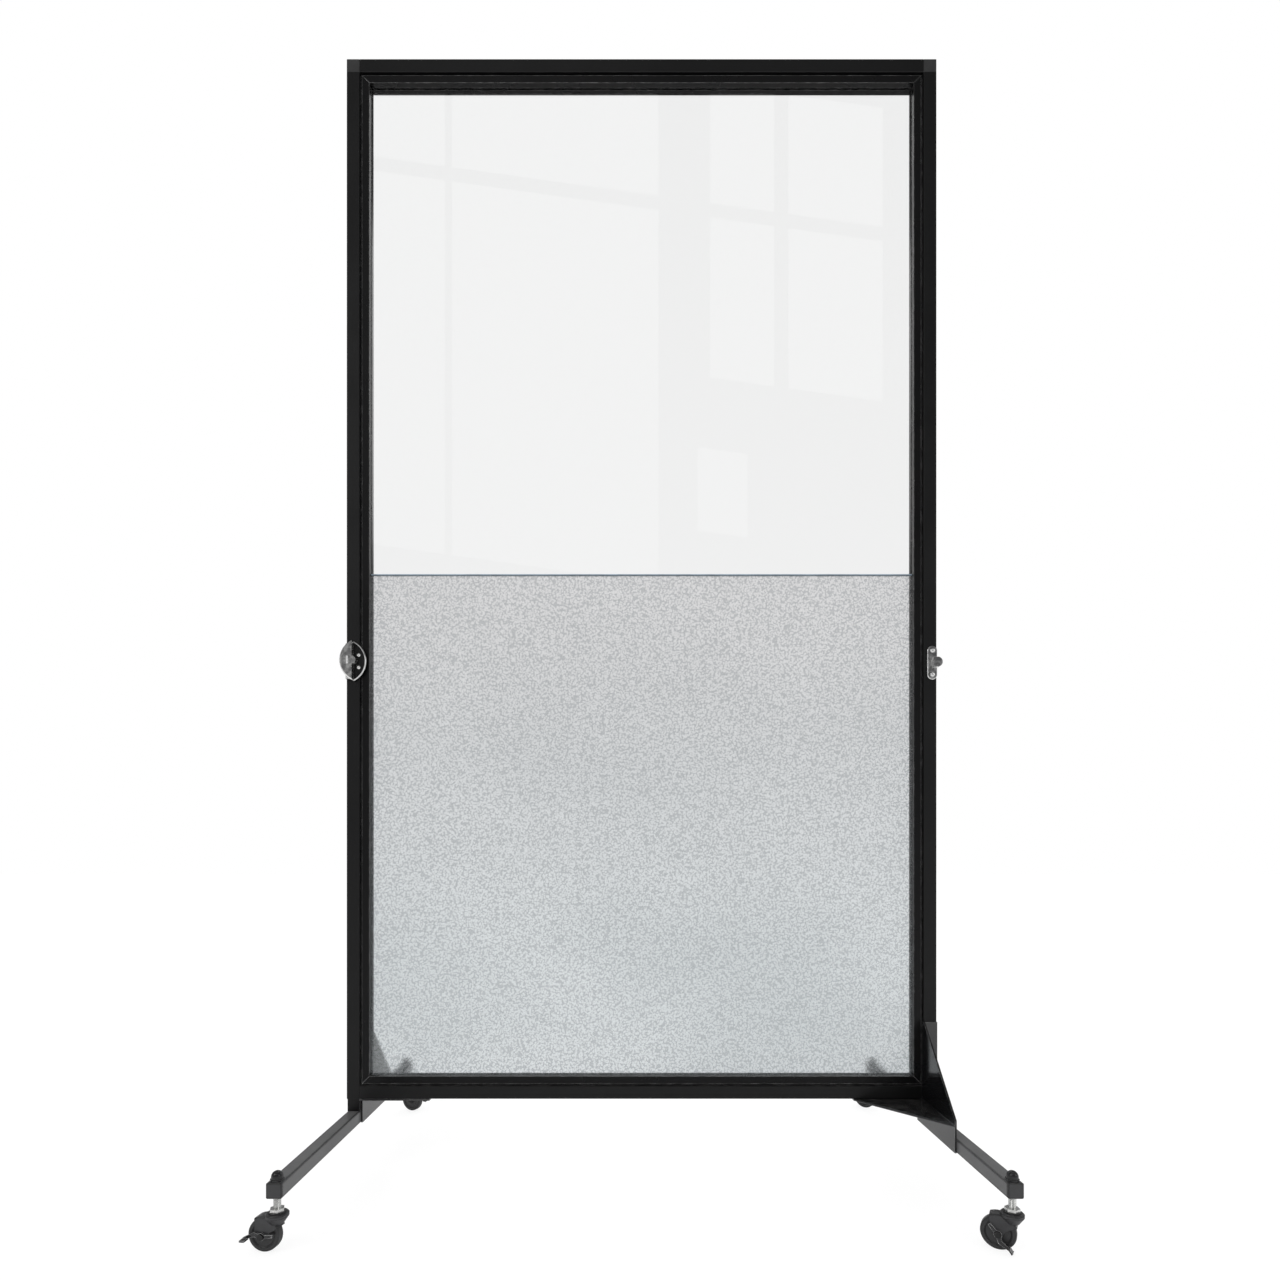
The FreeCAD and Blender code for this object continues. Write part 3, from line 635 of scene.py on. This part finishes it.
@dataclass(frozen=True)
class Plated(Finish):
    """Plated or polished metal with drawn streaks."""

    body: Colour = (0.62, 0.62, 0.61)
    dull: Colour = (0.4, 0.4, 0.4)
    gloss_low: float = 0.18
    gloss_high: float = 0.32
    stretch: float = 0.06
    streak_tone: float = 0.35
    streak_relief: float = 0.12
    streak_depth: float = 0.1 * MILLI

    def shade(self, wiring: Wiring) -> Socket:
        """Wire the plating.

        Args:
            wiring: adds nodes to the material.

        Returns:
            The shader's socket.
        """
        streaks = Streaks().place(wiring, Scale=1100.0, Stretch=self.stretch)
        smudge = Handling().place(wiring, Scale=45.0, Low=self.gloss_low, High=self.gloss_high)
        toned = wiring.mix(smudge["Mask"], self.body, self.dull)
        lined = wiring.mix(wiring.math("MULTIPLY", streaks["Tone"], self.streak_tone), toned, self.dull)
        return principled(wiring, Base_Color=lined, Metallic=1.0, Roughness=smudge["Roughness"],
                          Normal=relief(wiring, streaks["Height"], self.streak_relief, self.streak_depth))


@dataclass(frozen=True)
class CastMetal(Finish):
    """Die-cast metal with a mottled dark skin, polished bevels and edges that rubbing has made bright."""

    body: Colour = (0.12, 0.12, 0.12)
    mottle: Colour = (0.26, 0.26, 0.255)
    bright: Colour = (0.85, 0.85, 0.84)
    wear_and_painted_light: float = 0.9
    wear_and_painted_light_radius: float = 1.4 * MILLI
    polish: float = 0.8
    polish_gloss: float = 0.14
    bevel_span: tuple[float, float] = (0.08, 0.2)
    skin_relief: float = 0.4
    skin_depth: float = 0.2 * MILLI

    def shade(self, wiring: Wiring) -> Socket:
        """Wire the casting; a bevel is told by how far it turns from the front.

        Args:
            wiring: adds nodes to the material.

        Returns:
            The shader's socket.
        """
        grain = FineGrain().place(wiring, Scale=900.0, Waviness=420.0)
        wear_and_painted_light = EdgeWearAndPaintedLight().place(wiring, Radius=self.wear_and_painted_light_radius, Breakup=260.0, Amount=self.wear_and_painted_light)
        smudge = Handling().place(wiring, Scale=150.0, Low=0.3, High=0.46)
        forward = wiring.math("ABSOLUTE", wiring.along("Y", wiring.normal()))
        bevel = wiring.ramp(wiring.math("SUBTRACT", 1.0, forward), *self.bevel_span)
        shown = wiring.math("MAXIMUM", wear_and_painted_light["Mask"], wiring.math("MULTIPLY", bevel, self.polish))
        skin = wiring.mix(smudge["Mask"], self.body, self.mottle)
        smoothed = wiring.math("MULTIPLY", shown, self.polish_gloss)
        return principled(wiring, Base_Color=wiring.mix(shown, skin, self.bright), Metallic=1.0,
                          Roughness=wiring.math("SUBTRACT", smudge["Roughness"], smoothed),
                          Normal=relief(wiring, grain["Height"], self.skin_relief, self.skin_depth))


@dataclass(frozen=True)
class RimmedPlate(Finish):
    """Polished rim round a recess whose floor is coloured dark; the rim is told by its depth."""

    rim: Colour = (0.88, 0.88, 0.87)
    dull: Colour = (0.5, 0.5, 0.5)
    floor: Colour = (0.03, 0.03, 0.03)
    rim_depth: float = -18.8 * MILLI
    rim_blend: float = 0.2 * MILLI
    floor_dulling: float = 0.3
    smudge_share: float = 0.3
    streak_relief: float = 0.15
    streak_depth: float = 0.1 * MILLI

    def shade(self, wiring: Wiring) -> Socket:
        """Wire rim and recess.

        Args:
            wiring: adds nodes to the material.

        Returns:
            The shader's socket.
        """
        streaks = Streaks().place(wiring, Scale=1300.0, Stretch=0.2)
        smudge = Handling().place(wiring, Scale=120.0, Low=0.24, High=0.36)
        sunk = wiring.ramp(wiring.along("Y"), self.rim_depth - self.rim_blend,
                           self.rim_depth + self.rim_blend)
        smudged = wiring.math("MULTIPLY", smudge["Mask"], self.smudge_share)
        dulled = wiring.mix(smudged, self.rim, self.dull)
        rough = wiring.math("ADD", smudge["Roughness"], wiring.math("MULTIPLY", sunk, self.floor_dulling))
        return principled(wiring, Base_Color=wiring.mix(sunk, dulled, self.floor), Metallic=1.0,
                          Roughness=rough,
                          Normal=relief(wiring, streaks["Height"], self.streak_relief, self.streak_depth))


@dataclass(frozen=True)
class ClearAcrylic(Finish):
    """Polished clear sheet, faintly tinted, that lets straight light through for shadows."""

    tint: Colour = (0.892, 0.895, 0.894)
    shadow: float = 0.93
    bend: float = 1.49

    def shade(self, wiring: Wiring) -> Socket:
        """Wire the clear sheet.

        Args:
            wiring: adds nodes to the material.

        Returns:
            The shader's socket.
        """
        smudge = Handling().place(wiring, Scale=5.0, Low=0.01, High=0.03)
        sheet = principled(wiring, Base_Color=self.tint, Roughness=smudge["Roughness"], IOR=self.bend,
                           Transmission_Weight=1.0)
        return see_through_shadow(wiring, sheet, self.shadow)


@dataclass(frozen=True)
class FrostedAcrylic(Finish):
    """Patterned frosted sheet: pebbled front, blurred view, a slow drift of tone and painted shade in the
    pebbles' valleys.
    """

    low: Colour = (0.61, 0.645, 0.66)
    middle: Colour = (0.71, 0.74, 0.755)
    high: Colour = (0.755, 0.745, 0.75)
    # painted shade colour for the valleys between pebbles
    valley_shade: Colour = (0.28, 0.3, 0.31)
    valley_shade_share: float = 0.75
    pitch: float = 3.4 * MILLI
    pebble_relief: float = 0.5
    pebble_depth: float = 0.05 * MILLI
    clearness: float = 0.88
    shadow: float = 0.6
    bend: float = 1.49

    def shade(self, wiring: Wiring) -> Socket:
        """Wire the frosted sheet.

        Args:
            wiring: adds nodes to the material.

        Returns:
            The shader's socket.
        """
        clouds = Clouds().place(wiring, Low=self.low, Middle=self.middle, High=self.high, Scale=1.6)
        pebble = Pebble().place(wiring, Pitch=self.pitch)
        smudge = Handling().place(wiring, Scale=4.0, Low=0.12, High=0.15)
        # the pebbles' valleys are darkened in colour: painted shade
        share = wiring.math("MULTIPLY", pebble["Valley shade"], self.valley_shade_share)
        sheet = principled(wiring, Base_Color=wiring.mix(share, clouds["Color"], self.valley_shade),
                           Roughness=smudge["Roughness"], IOR=self.bend, Transmission_Weight=self.clearness,
                           Normal=relief(wiring, pebble["Height"], self.pebble_relief, self.pebble_depth))
        return see_through_shadow(wiring, sheet, self.shadow)


def see_through_shadow(wiring: Wiring, sheet: Socket, light: float) -> Socket:
    """Let a sheet pass light to what stands behind it.

    Args:
        wiring: adds nodes to the material.
        sheet: the sheet's own shader.
        light: share of the light that passes.

    Returns:
        The mixed shader's socket.
    """
    passing = wiring.add("ShaderNodeBsdfTransparent", {"Color": (light, light, light)})
    path = wiring.add("ShaderNodeLightPath")
    mixed = wiring.add("ShaderNodeMixShader", {0: path.outputs["Is Shadow Ray"], 1: sheet,
                                              2: passing.outputs[0]})
    return mixed.outputs[0]


FRAME_BLACK = PowderCoat("frame_black", body=(0.003, 0.003, 0.0032), edge_wear_and_painted_light=(0.12, 0.12, 0.12),
                         gloss_low=0.28, gloss_high=0.42, shine=0.26)
# light edge colour on the channels is a painted highlight along the bead's edges
CHANNEL_BLACK = PowderCoat("channel_black", body=(0.002, 0.002, 0.0022), edge_wear_and_painted_light=(0.3, 0.3, 0.3), wear_and_painted_light=0.7,
                           wear_and_painted_light_radius=1.4 * MILLI, wear_and_painted_light_bend=0.1, gloss_low=0.24, gloss_high=0.34,
                           shine=0.18)
CORNER_GREY = Moulding("corner_grey", body=(0.02, 0.02, 0.0205), scuff_and_painted_shade=(0.07, 0.07, 0.07), gloss_low=0.4,
                       gloss_high=0.6)
# dark edge colour on the legs is painted shade, drawn as dark lines along the edges
LEG_CHARCOAL = PowderCoat("leg_charcoal", body=(0.095, 0.095, 0.097), edge_wear_and_painted_light=(0.003, 0.003, 0.003), wear_and_painted_light=4.0,
                          wear_and_painted_light_radius=3.5 * MILLI, wear_and_painted_light_bend=0.02, shine=0.4)
# light edge colour on the gussets is a painted highlight along their edges
GUSSET_BLACK = PowderCoat("gusset_black", body=(0.003, 0.003, 0.0035), edge_wear_and_painted_light=(0.45, 0.45, 0.45),
                          gloss_low=0.12, gloss_high=0.2, wear_and_painted_light=0.6, wear_and_painted_light_radius=1.2 * MILLI, peel=0.05,
                          shine=0.9)
# dark edge colour on the plugs is painted shade along their edges
PLUG_BLACK = Moulding("plug_black", body=(0.034, 0.034, 0.036), scuff_and_painted_shade=(0.003, 0.003, 0.003), wear_and_painted_light=3.0,
                      wear_and_painted_light_radius=3.0 * MILLI, wear_and_painted_light_bend=0.03)
NUT_BLACK = Moulding("nut_black", body=(0.008, 0.008, 0.009), gloss_low=0.1, gloss_high=0.16, grain=0.03)
# dark edge colour on the hoods is painted shade along their edges
CASTER_BLACK = Moulding("caster_black", body=(0.03, 0.03, 0.032), scuff_and_painted_shade=(0.002, 0.002, 0.002), wear_and_painted_light=2.5,
                        wear_and_painted_light_radius=1.8 * MILLI, wear_and_painted_light_bend=0.05, gloss_low=0.32, gloss_high=0.46, dust=0.14)
# dark edge colour on the wheels is painted shade along their edges
TREAD_BLACK = Moulding("tread_black", body=(0.026, 0.026, 0.027), scuff_and_painted_shade=(0.002, 0.002, 0.002),
                       gloss_low=0.4, wear_and_painted_light=2.5, wear_and_painted_light_radius=1.8 * MILLI, wear_and_painted_light_bend=0.05)
# light edge colour on the levers is a painted highlight along their edges
LEVER_BLACK = PowderCoat("lever_black", body=(0.005, 0.005, 0.006), edge_wear_and_painted_light=(0.8, 0.8, 0.8), wear_and_painted_light=1.2,
                         wear_and_painted_light_radius=1.2 * MILLI, gloss_low=0.12, gloss_high=0.2, shine=0.7)
STRIP_BLUE = Moulding("strip_blue", body=(0.26, 0.33, 0.39), scuff_and_painted_shade=(0.4, 0.46, 0.52), dust=0.0)
ZINC = Plated("zinc", body=(0.86, 0.86, 0.84), dull=(0.6, 0.6, 0.59))
THREAD_ZINC = Plated("thread_zinc", body=(0.84, 0.84, 0.82), dull=(0.45, 0.45, 0.44), stretch=1.0)
AXLE_DARK = Plated("axle_dark", body=(0.05, 0.05, 0.05), dull=(0.03, 0.03, 0.03))
LATCH_CAST = CastMetal("latch_cast", body=(0.2, 0.2, 0.2), mottle=(0.42, 0.42, 0.41), polish=1.0)
KEEPER_CAST = CastMetal("keeper_cast", body=(0.14, 0.14, 0.14), mottle=(0.34, 0.34, 0.34),
                        bright=(0.95, 0.95, 0.94), wear_and_painted_light=1.8, wear_and_painted_light_radius=1.8 * MILLI, polish=1.0)
LATCH_PLATE = RimmedPlate("latch_plate")
CHROME = Plated("chrome", body=(0.95, 0.95, 0.94), dull=(0.75, 0.75, 0.75), gloss_low=0.2, gloss_high=0.32)
NICKEL = Plated("nickel", body=(0.95, 0.95, 0.94), dull=(0.8, 0.8, 0.79), gloss_low=0.4, gloss_high=0.5)
CLEAR = ClearAcrylic("clear_acrylic")
FROSTED = FrostedAcrylic("frosted_acrylic")


# Meshes


def dress(node: str, finish: Finish) -> None:
    """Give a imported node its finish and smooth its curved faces.

    Args:
        node: the node's name.
        finish: the finish it gets.
    """
    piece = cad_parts[node]
    piece.data.materials.clear()
    piece.data.materials.append(finish.material())
    for face in piece.data.polygons:
        face.material_index = 0
    piece.data.shade_smooth()
    piece.data.set_sharp_from_angle(angle=CREASE)
    LOG.info("%s: %s", node, finish.name)


def placed(mesh: bmesh.types.BMesh, name: str, material: bpy.types.Material) -> bpy.types.Object:
    """Turn built geometry into an object of the scene.

    Args:
        mesh: the geometry, freed afterwards.
        name: the object's name.
        material: its material.

    Returns:
        The new object.
    """
    data = bpy.data.meshes.new(name)
    mesh.to_mesh(data)
    mesh.free()
    data.materials.append(material)
    made = bpy.data.objects.new(name, data)
    bpy.context.scene.collection.objects.link(made)
    return made


def piece_from(mesh: bmesh.types.BMesh, name: str, finish: Finish, body: str) -> None:
    """Turn built geometry into a piece that rides on a body.

    Args:
        mesh: the geometry, freed afterwards.
        name: the piece's name.
        finish: its finish.
        body: the body that it moves with.
    """
    bmesh.ops.recalc_face_normals(mesh, faces=mesh.faces)
    piece = placed(mesh, name, finish.material())
    piece.data.shade_smooth()
    piece.data.set_sharp_from_angle(angle=CREASE)
    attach(piece, body)
    LOG.info("%s: %s on %s", name, finish.name, body)


def turned(mesh: bmesh.types.BMesh, profile: Iterable[tuple[float, float]], place: Matrix) -> None:
    """Add a turned solid.

    Args:
        mesh: geometry to add to.
        profile: radius and height of each ring, from end to end; a radius of 0 closes the end.
        place: puts the solid's own Z axis where it belongs.
    """
    rings = []
    for radius, height in profile:
        if radius == 0.0:
            rings.append([mesh.verts.new(place @ Vector((0.0, 0.0, height)))])
            continue
        angles = (2 * math.pi * step / RING_STEPS for step in range(RING_STEPS))
        points = (Vector((radius * math.cos(angle), radius * math.sin(angle), height)) for angle in angles)
        rings.append([mesh.verts.new(place @ point) for point in points])
    for low, high in zip(rings, rings[1:]):
        for step in range(RING_STEPS):
            after = (step + 1) % RING_STEPS
            corners = [low[step % len(low)], low[after % len(low)],
                       high[after % len(high)], high[step % len(high)]]
            kept = list(dict.fromkeys(corners))      # a closed end has one point for all steps
            if len(kept) > 2:
                mesh.faces.new(kept)


# Sub-assemblies


@dataclass
class FrameTubes:
    """The four black tubes and the two top corner blocks."""

    tubes: tuple[str, ...] = ("left_stile", "right_stile", "top_rail", "bottom_rail")
    blocks: tuple[str, ...] = ("top_left_corner_block", "top_right_corner_block")

    def build(self) -> None:
        """Dress the tubes and blocks."""
        for tube in self.tubes:
            dress(tube, FRAME_BLACK)
        for block in self.blocks:
            dress(block, CORNER_GREY)


@dataclass
class Glazing:
    """Channels, the two sheets and the strip between them."""

    channels: tuple[str, ...] = ("left", "right", "top", "bottom")

    def build(self) -> None:
        """Dress the glazing."""
        for channel in self.channels:
            dress(f"{channel}_glazing_channel", CHANNEL_BLACK)
        dress("clear_upper_sheet", CLEAR)
        dress("textured_lower_sheet", FROSTED)
        dress("sheet_joint_strip", STRIP_BLUE)


@dataclass
class Leg:
    """One leg with its end plugs, domed nuts, riser and gusset."""

    side: Side

    def build(self) -> None:
        """Dress the leg's pieces."""
        name = self.side.value
        dress(f"{name}_leg_tube", LEG_CHARCOAL)
        dress(f"{name}_leg_end_plugs", PLUG_BLACK)
        dress(f"{name}_leg_domed_nuts", NUT_BLACK)
        dress(f"{name}_riser", FRAME_BLACK)
        dress(f"{name}_gusset", GUSSET_BLACK)


@dataclass
class Caster:
    """One caster: stem, hood, wheel, axle and brake lever, with the thread that shows on the stem."""

    corner: Corner
    pitch: float = 1.5 * MILLI
    root: float = 4.6 * MILLI
    crest: float = 5.0 * MILLI
    nut_top: float = 57.9 * MILLI        # over the floor
    steps: int = 28

    def thread(self) -> None:
        """Wind the thread round the stem from its hexagon up to the leg."""
        name = self.corner.value
        low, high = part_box(f"{name}_caster_stem")
        axis = (low + high) / 2
        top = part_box(f"{Side.LEFT.value}_leg_tube")[0].z - self.pitch        # both legs are level
        ridge = ((self.root, 0.0), (self.crest, 0.5), (self.root, 1.0))      # radius, share of the pitch
        mesh = bmesh.new()
        before: list[bmesh.types.BMVert] = []
        for step in range(int((top - self.nut_top) / self.pitch * self.steps) + 1):
            angle = 2 * math.pi * step / self.steps
            height = self.nut_top + self.pitch * step / self.steps
            ring = [mesh.verts.new((axis.x + radius * math.cos(angle), axis.y + radius * math.sin(angle),
                                    height + lift * self.pitch)) for radius, lift in ridge]
            for near, far in ((0, 1), (1, 2), (2, 0)):
                if before:
                    mesh.faces.new((before[near], before[far], ring[far], ring[near]))
            if not before:
                mesh.faces.new(ring)
            before = ring
        mesh.faces.new(reversed(before))
        piece_from(mesh, f"{name}_stem_thread", THREAD_ZINC, "root")

    def build(self) -> None:
        """Dress the caster's pieces and add the thread."""
        name = self.corner.value
        self.thread()
        dress(f"{name}_caster_stem", ZINC)
        dress(f"{name}_caster_hood", CASTER_BLACK)
        dress(f"{name}_caster_wheels", TREAD_BLACK)
        dress(f"{name}_caster_axle", AXLE_DARK)
        dress(f"{name}_brake_lever", LEVER_BLACK)


@dataclass
class Latch:
    """Crescent latch on the left stile and keeper on the right one, with screws and the slot's plate."""

    pin_inset: float = 6.5 * MILLI       # from the crescent's inner edge
    rim_proud: float = 5.0 * MILLI       # of the stile's face
    floor_depth: float = 2.5 * MILLI
    screw_radius: float = 3.2 * MILLI
    screw_across: float = 7.9 * MILLI    # from the pin
    screw_apart: float = 10.5 * MILLI    # over and under the pin
    keeper_proud: float = 3.0 * MILLI    # of the stile's face
    keeper_end: float = 8.2 * MILLI      # from the keeper's edges to a screw's middle
    keeper_screw_radius: float = 4.0 * MILLI
    slot_place: float = 8.0 * MILLI      # from the pin
    slot_size: tuple[float, float, float] = (3.2 * MILLI, 0.7 * MILLI, 13.0 * MILLI)
    slot_depth: float = 1.2 * MILLI
    slot_rounding: float = 0.3 * MILLI
    screw_profile: tuple[tuple[float, float], ...] = (
        (0.0, 0.0), (1.0, 0.0), (1.0, 0.16), (0.9, 0.34), (0.68, 0.46), (0.46, 0.5), (0.42, 0.44),
        (0.4, 0.14), (0.0, 0.1))         # in radii of the head

    def screw(self, mesh: bmesh.types.BMesh, place: Vector, radius: float) -> None:
        """Add a domed screw head with a round socket, facing the front.

        Args:
            mesh: geometry to add to.
            place: middle of the head's underside.
            radius: radius of the head.
        """
        facing = Matrix.Translation(place) @ Matrix.Rotation(math.radians(90), 4, "X")
        turned(mesh, [(radius * across, radius * height) for across, height in self.screw_profile], facing)

    def latch_screws(self) -> None:
        """Screws in the latch's recess, over and under the pin."""
        low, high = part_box("latch_lever")
        middle = (low.z + high.z) / 2
        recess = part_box("left_stile")[0].y - self.rim_proud + self.floor_depth
        across = high.x - self.pin_inset + self.screw_across
        mesh = bmesh.new()
        for sign in (-1, 1):
            self.screw(mesh, Vector((across, recess, middle + sign * self.screw_apart)), self.screw_radius)
        piece_from(mesh, "latch_screws", CHROME, "root")

    def keeper_screws(self) -> None:
        """Screws at the keeper's round ends."""
        low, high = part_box("latch_keeper")
        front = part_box("right_stile")[0].y - self.keeper_proud
        mesh = bmesh.new()
        for level in (low.z + self.keeper_end, high.z - self.keeper_end):
            self.screw(mesh, Vector((low.x + self.keeper_end, front, level)), self.keeper_screw_radius)
        piece_from(mesh, "keeper_screws", CHROME, "root")

    def slot_plate(self) -> None:
        """Bright pillowed plate in the crescent's finger slot."""
        low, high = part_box("latch_lever")
        middle = Vector((high.x - self.pin_inset - self.slot_place,
                         low.y + self.slot_depth - self.slot_size[1] / 2, (low.z + high.z) / 2))
        mesh = bmesh.new()
        shape = Matrix.Translation(middle) @ Matrix.Diagonal((*self.slot_size, 1.0))
        bmesh.ops.create_cube(mesh, size=1.0, matrix=shape)
        bmesh.ops.bevel(mesh, geom=mesh.edges[:], offset=self.slot_rounding, segments=3, affect="EDGES")
        piece_from(mesh, "latch_slot_plate", NICKEL, "latch")

    def build(self) -> None:
        """Dress latch and keeper and add the small fittings."""
        dress("latch_base", LATCH_PLATE)
        dress("latch_lever", LATCH_CAST)
        dress("latch_keeper", KEEPER_CAST)
        self.latch_screws()
        self.keeper_screws()
        self.slot_plate()


# Studio


def straight_view(wiring: Wiring) -> Socket:
    """Mask of what is looked at straight or through the sheets.

    Args:
        wiring: adds nodes to the material or the world.

    Returns:
        The mask's socket.
    """
    path = wiring.add("ShaderNodeLightPath")
    return wiring.math("MAXIMUM", path.outputs["Is Camera Ray"], path.outputs["Is Transmission Ray"])


@dataclass(frozen=True)
class Lamp:
    """A soft rectangular lamp."""

    name: str
    place: tuple[float, float, float]
    size: tuple[float, float]
    watts: float

    def hang(self, target: Vector) -> None:
        """Hang the lamp so that it faces a point.

        Args:
            target: the point.
        """
        light = bpy.data.lights.new(self.name, "AREA")
        light.shape = "RECTANGLE"
        light.size, light.size_y = self.size
        light.energy = self.watts
        holder = bpy.data.objects.new(self.name, light)
        holder.location = self.place
        holder.rotation_euler = (target - holder.location).to_track_quat("-Z", "Y").to_euler()
        holder.visible_transmission = False
        bpy.context.scene.collection.objects.link(holder)


@dataclass
class Studio:
    """Pale floor, soft lamps, white surroundings and the camera at the photograph's place."""

    photo_pixels: float = 1280.0
    pixels_per_metre: float = 590.0      # at the panel's face
    panel_middle_px: float = 641.6
    vanishing_px: tuple[float, float] = (630.0, 862.0)
    floor_px: float = 1167.4             # where the panel's face meets the floor
    distance: float = 1.3                # from the panel's face
    sensor: float = 36.0
    lit_point: tuple[float, float, float] = (0.0, 0.0, 0.9)
    lamps: tuple[Lamp, ...] = (
        Lamp("key", (-2.9, -2.4, 2.9), (1.8, 1.8), 26.0),
        Lamp("fill", (3.1, -2.2, 2.0), (2.0, 2.0), 16.0),
        Lamp("back", (0.4, 3.2, 3.2), (2.6, 1.6), 24.0))
    sky_light: Colour = (0.8, 0.8, 0.8)
    mirrored_low: Colour = (0.5, 0.5, 0.505)
    mirrored_high: Colour = (0.08, 0.08, 0.08)
    mirrored_rise: float = 0.7           # how far up the darker tone is reached
    floor_size: float = 60.0
    floor_tone: Colour = (0.88, 0.88, 0.88)
    floor_white: float = 1.13
    floor_share: float = 0.75            # of the white in what the eye sees
    pane_place: float = -3.0
    pane_glow: float = 0.85
    bar_slope: float = 0.139
    panes: tuple[tuple[float, float, float, float], ...] = (
        (-1.47, -1.06, 4.28, 4.95), (-1.02, 0.14, 4.28, 4.95), (0.43, 0.79, 4.28, 4.95),
        (0.87, 1.4, 4.28, 4.95), (-1.47, -1.06, 2.1, 4.2), (-1.02, 0.14, 2.1, 4.2),
        (0.43, 0.79, 3.3, 4.2), (0.87, 1.4, 3.3, 4.2),
        (0.36, 0.64, 2.43, 2.9))         # left, right, foot, head

    def camera(self) -> None:
        """Place the level camera; the photograph's framing is the shift."""
        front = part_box("left_stile")[0].y
        middle = self.photo_pixels / 2
        lens = bpy.data.cameras.new("camera")
        lens.sensor_width = self.sensor
        lens.lens = self.sensor * self.pixels_per_metre * self.distance / self.photo_pixels
        lens.shift_x = (middle - self.vanishing_px[0]) / self.photo_pixels
        lens.shift_y = (self.vanishing_px[1] - middle) / self.photo_pixels
        view = bpy.data.objects.new("camera", lens)
        across = (self.vanishing_px[0] - self.panel_middle_px) / self.pixels_per_metre
        height = (self.floor_px - self.vanishing_px[1]) / self.pixels_per_metre
        view.location = (across, front - self.distance, height)
        view.rotation_euler = (math.radians(90), 0, 0)
        bpy.context.scene.collection.objects.link(view)
        bpy.context.scene.camera = view

    def surroundings(self) -> None:
        """White to the eye and through the sheets, softer as light and in reflections."""
        world = bpy.data.worlds.new("studio")
        bpy.context.scene.world = world
        wiring = emptied(world)
        glossy = wiring.add("ShaderNodeLightPath").outputs["Is Glossy Ray"]
        up = wiring.along("Z", wiring.add("ShaderNodeTexCoord").outputs["Generated"])
        mirrored = wiring.mix(wiring.ramp(up, 0.0, self.mirrored_rise), self.mirrored_low, self.mirrored_high)
        dim = wiring.mix(glossy, self.sky_light, mirrored)
        tone = wiring.mix(straight_view(wiring), dim, WHITE)
        background = wiring.add("ShaderNodeBackground", {"Color": tone, "Strength": 1.0})
        output = wiring.add("ShaderNodeOutputWorld")
        wiring.feed(output.inputs["Surface"], background.outputs[0])

    def floor(self) -> None:
        """Pale floor that keeps the object's shadow and runs out into white."""
        material = bpy.data.materials.new("floor")
        wiring = emptied(material)
        matt = wiring.add("ShaderNodeBsdfDiffuse", {"Color": self.floor_tone})
        white = wiring.add("ShaderNodeEmission", {"Color": WHITE, "Strength": self.floor_white})
        share = wiring.math("MULTIPLY", straight_view(wiring), self.floor_share)
        blend = wiring.add("ShaderNodeMixShader", {0: share, 1: matt.outputs[0], 2: white.outputs[0]})
        output = wiring.add("ShaderNodeOutputMaterial")
        wiring.feed(output.inputs["Surface"], blend.outputs[0])
        mesh = bmesh.new()
        bmesh.ops.create_grid(mesh, x_segments=1, y_segments=1, size=self.floor_size / 2)
        ground = placed(mesh, "floor", material)

    def windows(self) -> None:
        """Pale panes behind the camera, seen only as the clear sheet's and the metal's reflections."""
        material = bpy.data.materials.new("window_panes")
        wiring = emptied(material)
        glow = wiring.add("ShaderNodeEmission", {"Color": WHITE, "Strength": self.pane_glow})
        output = wiring.add("ShaderNodeOutputMaterial")
        wiring.feed(output.inputs["Surface"], glow.outputs[0])
        mesh = bmesh.new()
        for left, right, foot, head in self.panes:
            corners = ((left, foot), (right, foot), (right, head), (left, head))
            mesh.faces.new([mesh.verts.new((across, self.pane_place, up - self.bar_slope * across))
                            for across, up in corners])
        panes = placed(mesh, "window_panes", material)
        panes.visible_camera = False
        panes.visible_diffuse = False
        panes.visible_shadow = False
        panes.visible_transmission = False

    def build(self) -> None:
        """Set up camera, surroundings, floor, windows and lamps."""
        self.camera()
        self.surroundings()
        self.floor()
        self.windows()
        for lamp in self.lamps:
            lamp.hang(Vector(self.lit_point))
        bpy.context.scene.view_settings.view_transform = "Standard"


def main() -> None:
    """Build the sub-assemblies in order."""
    logging.basicConfig(level=logging.INFO, format="%(name)s %(message)s")
    FrameTubes().build()
    Glazing().build()
    for side in Side:
        Leg(side).build()
    for corner in Corner:
        Caster(corner).build()
    Latch().build()
    Studio().build()


if __name__ == "__main__":
    main()
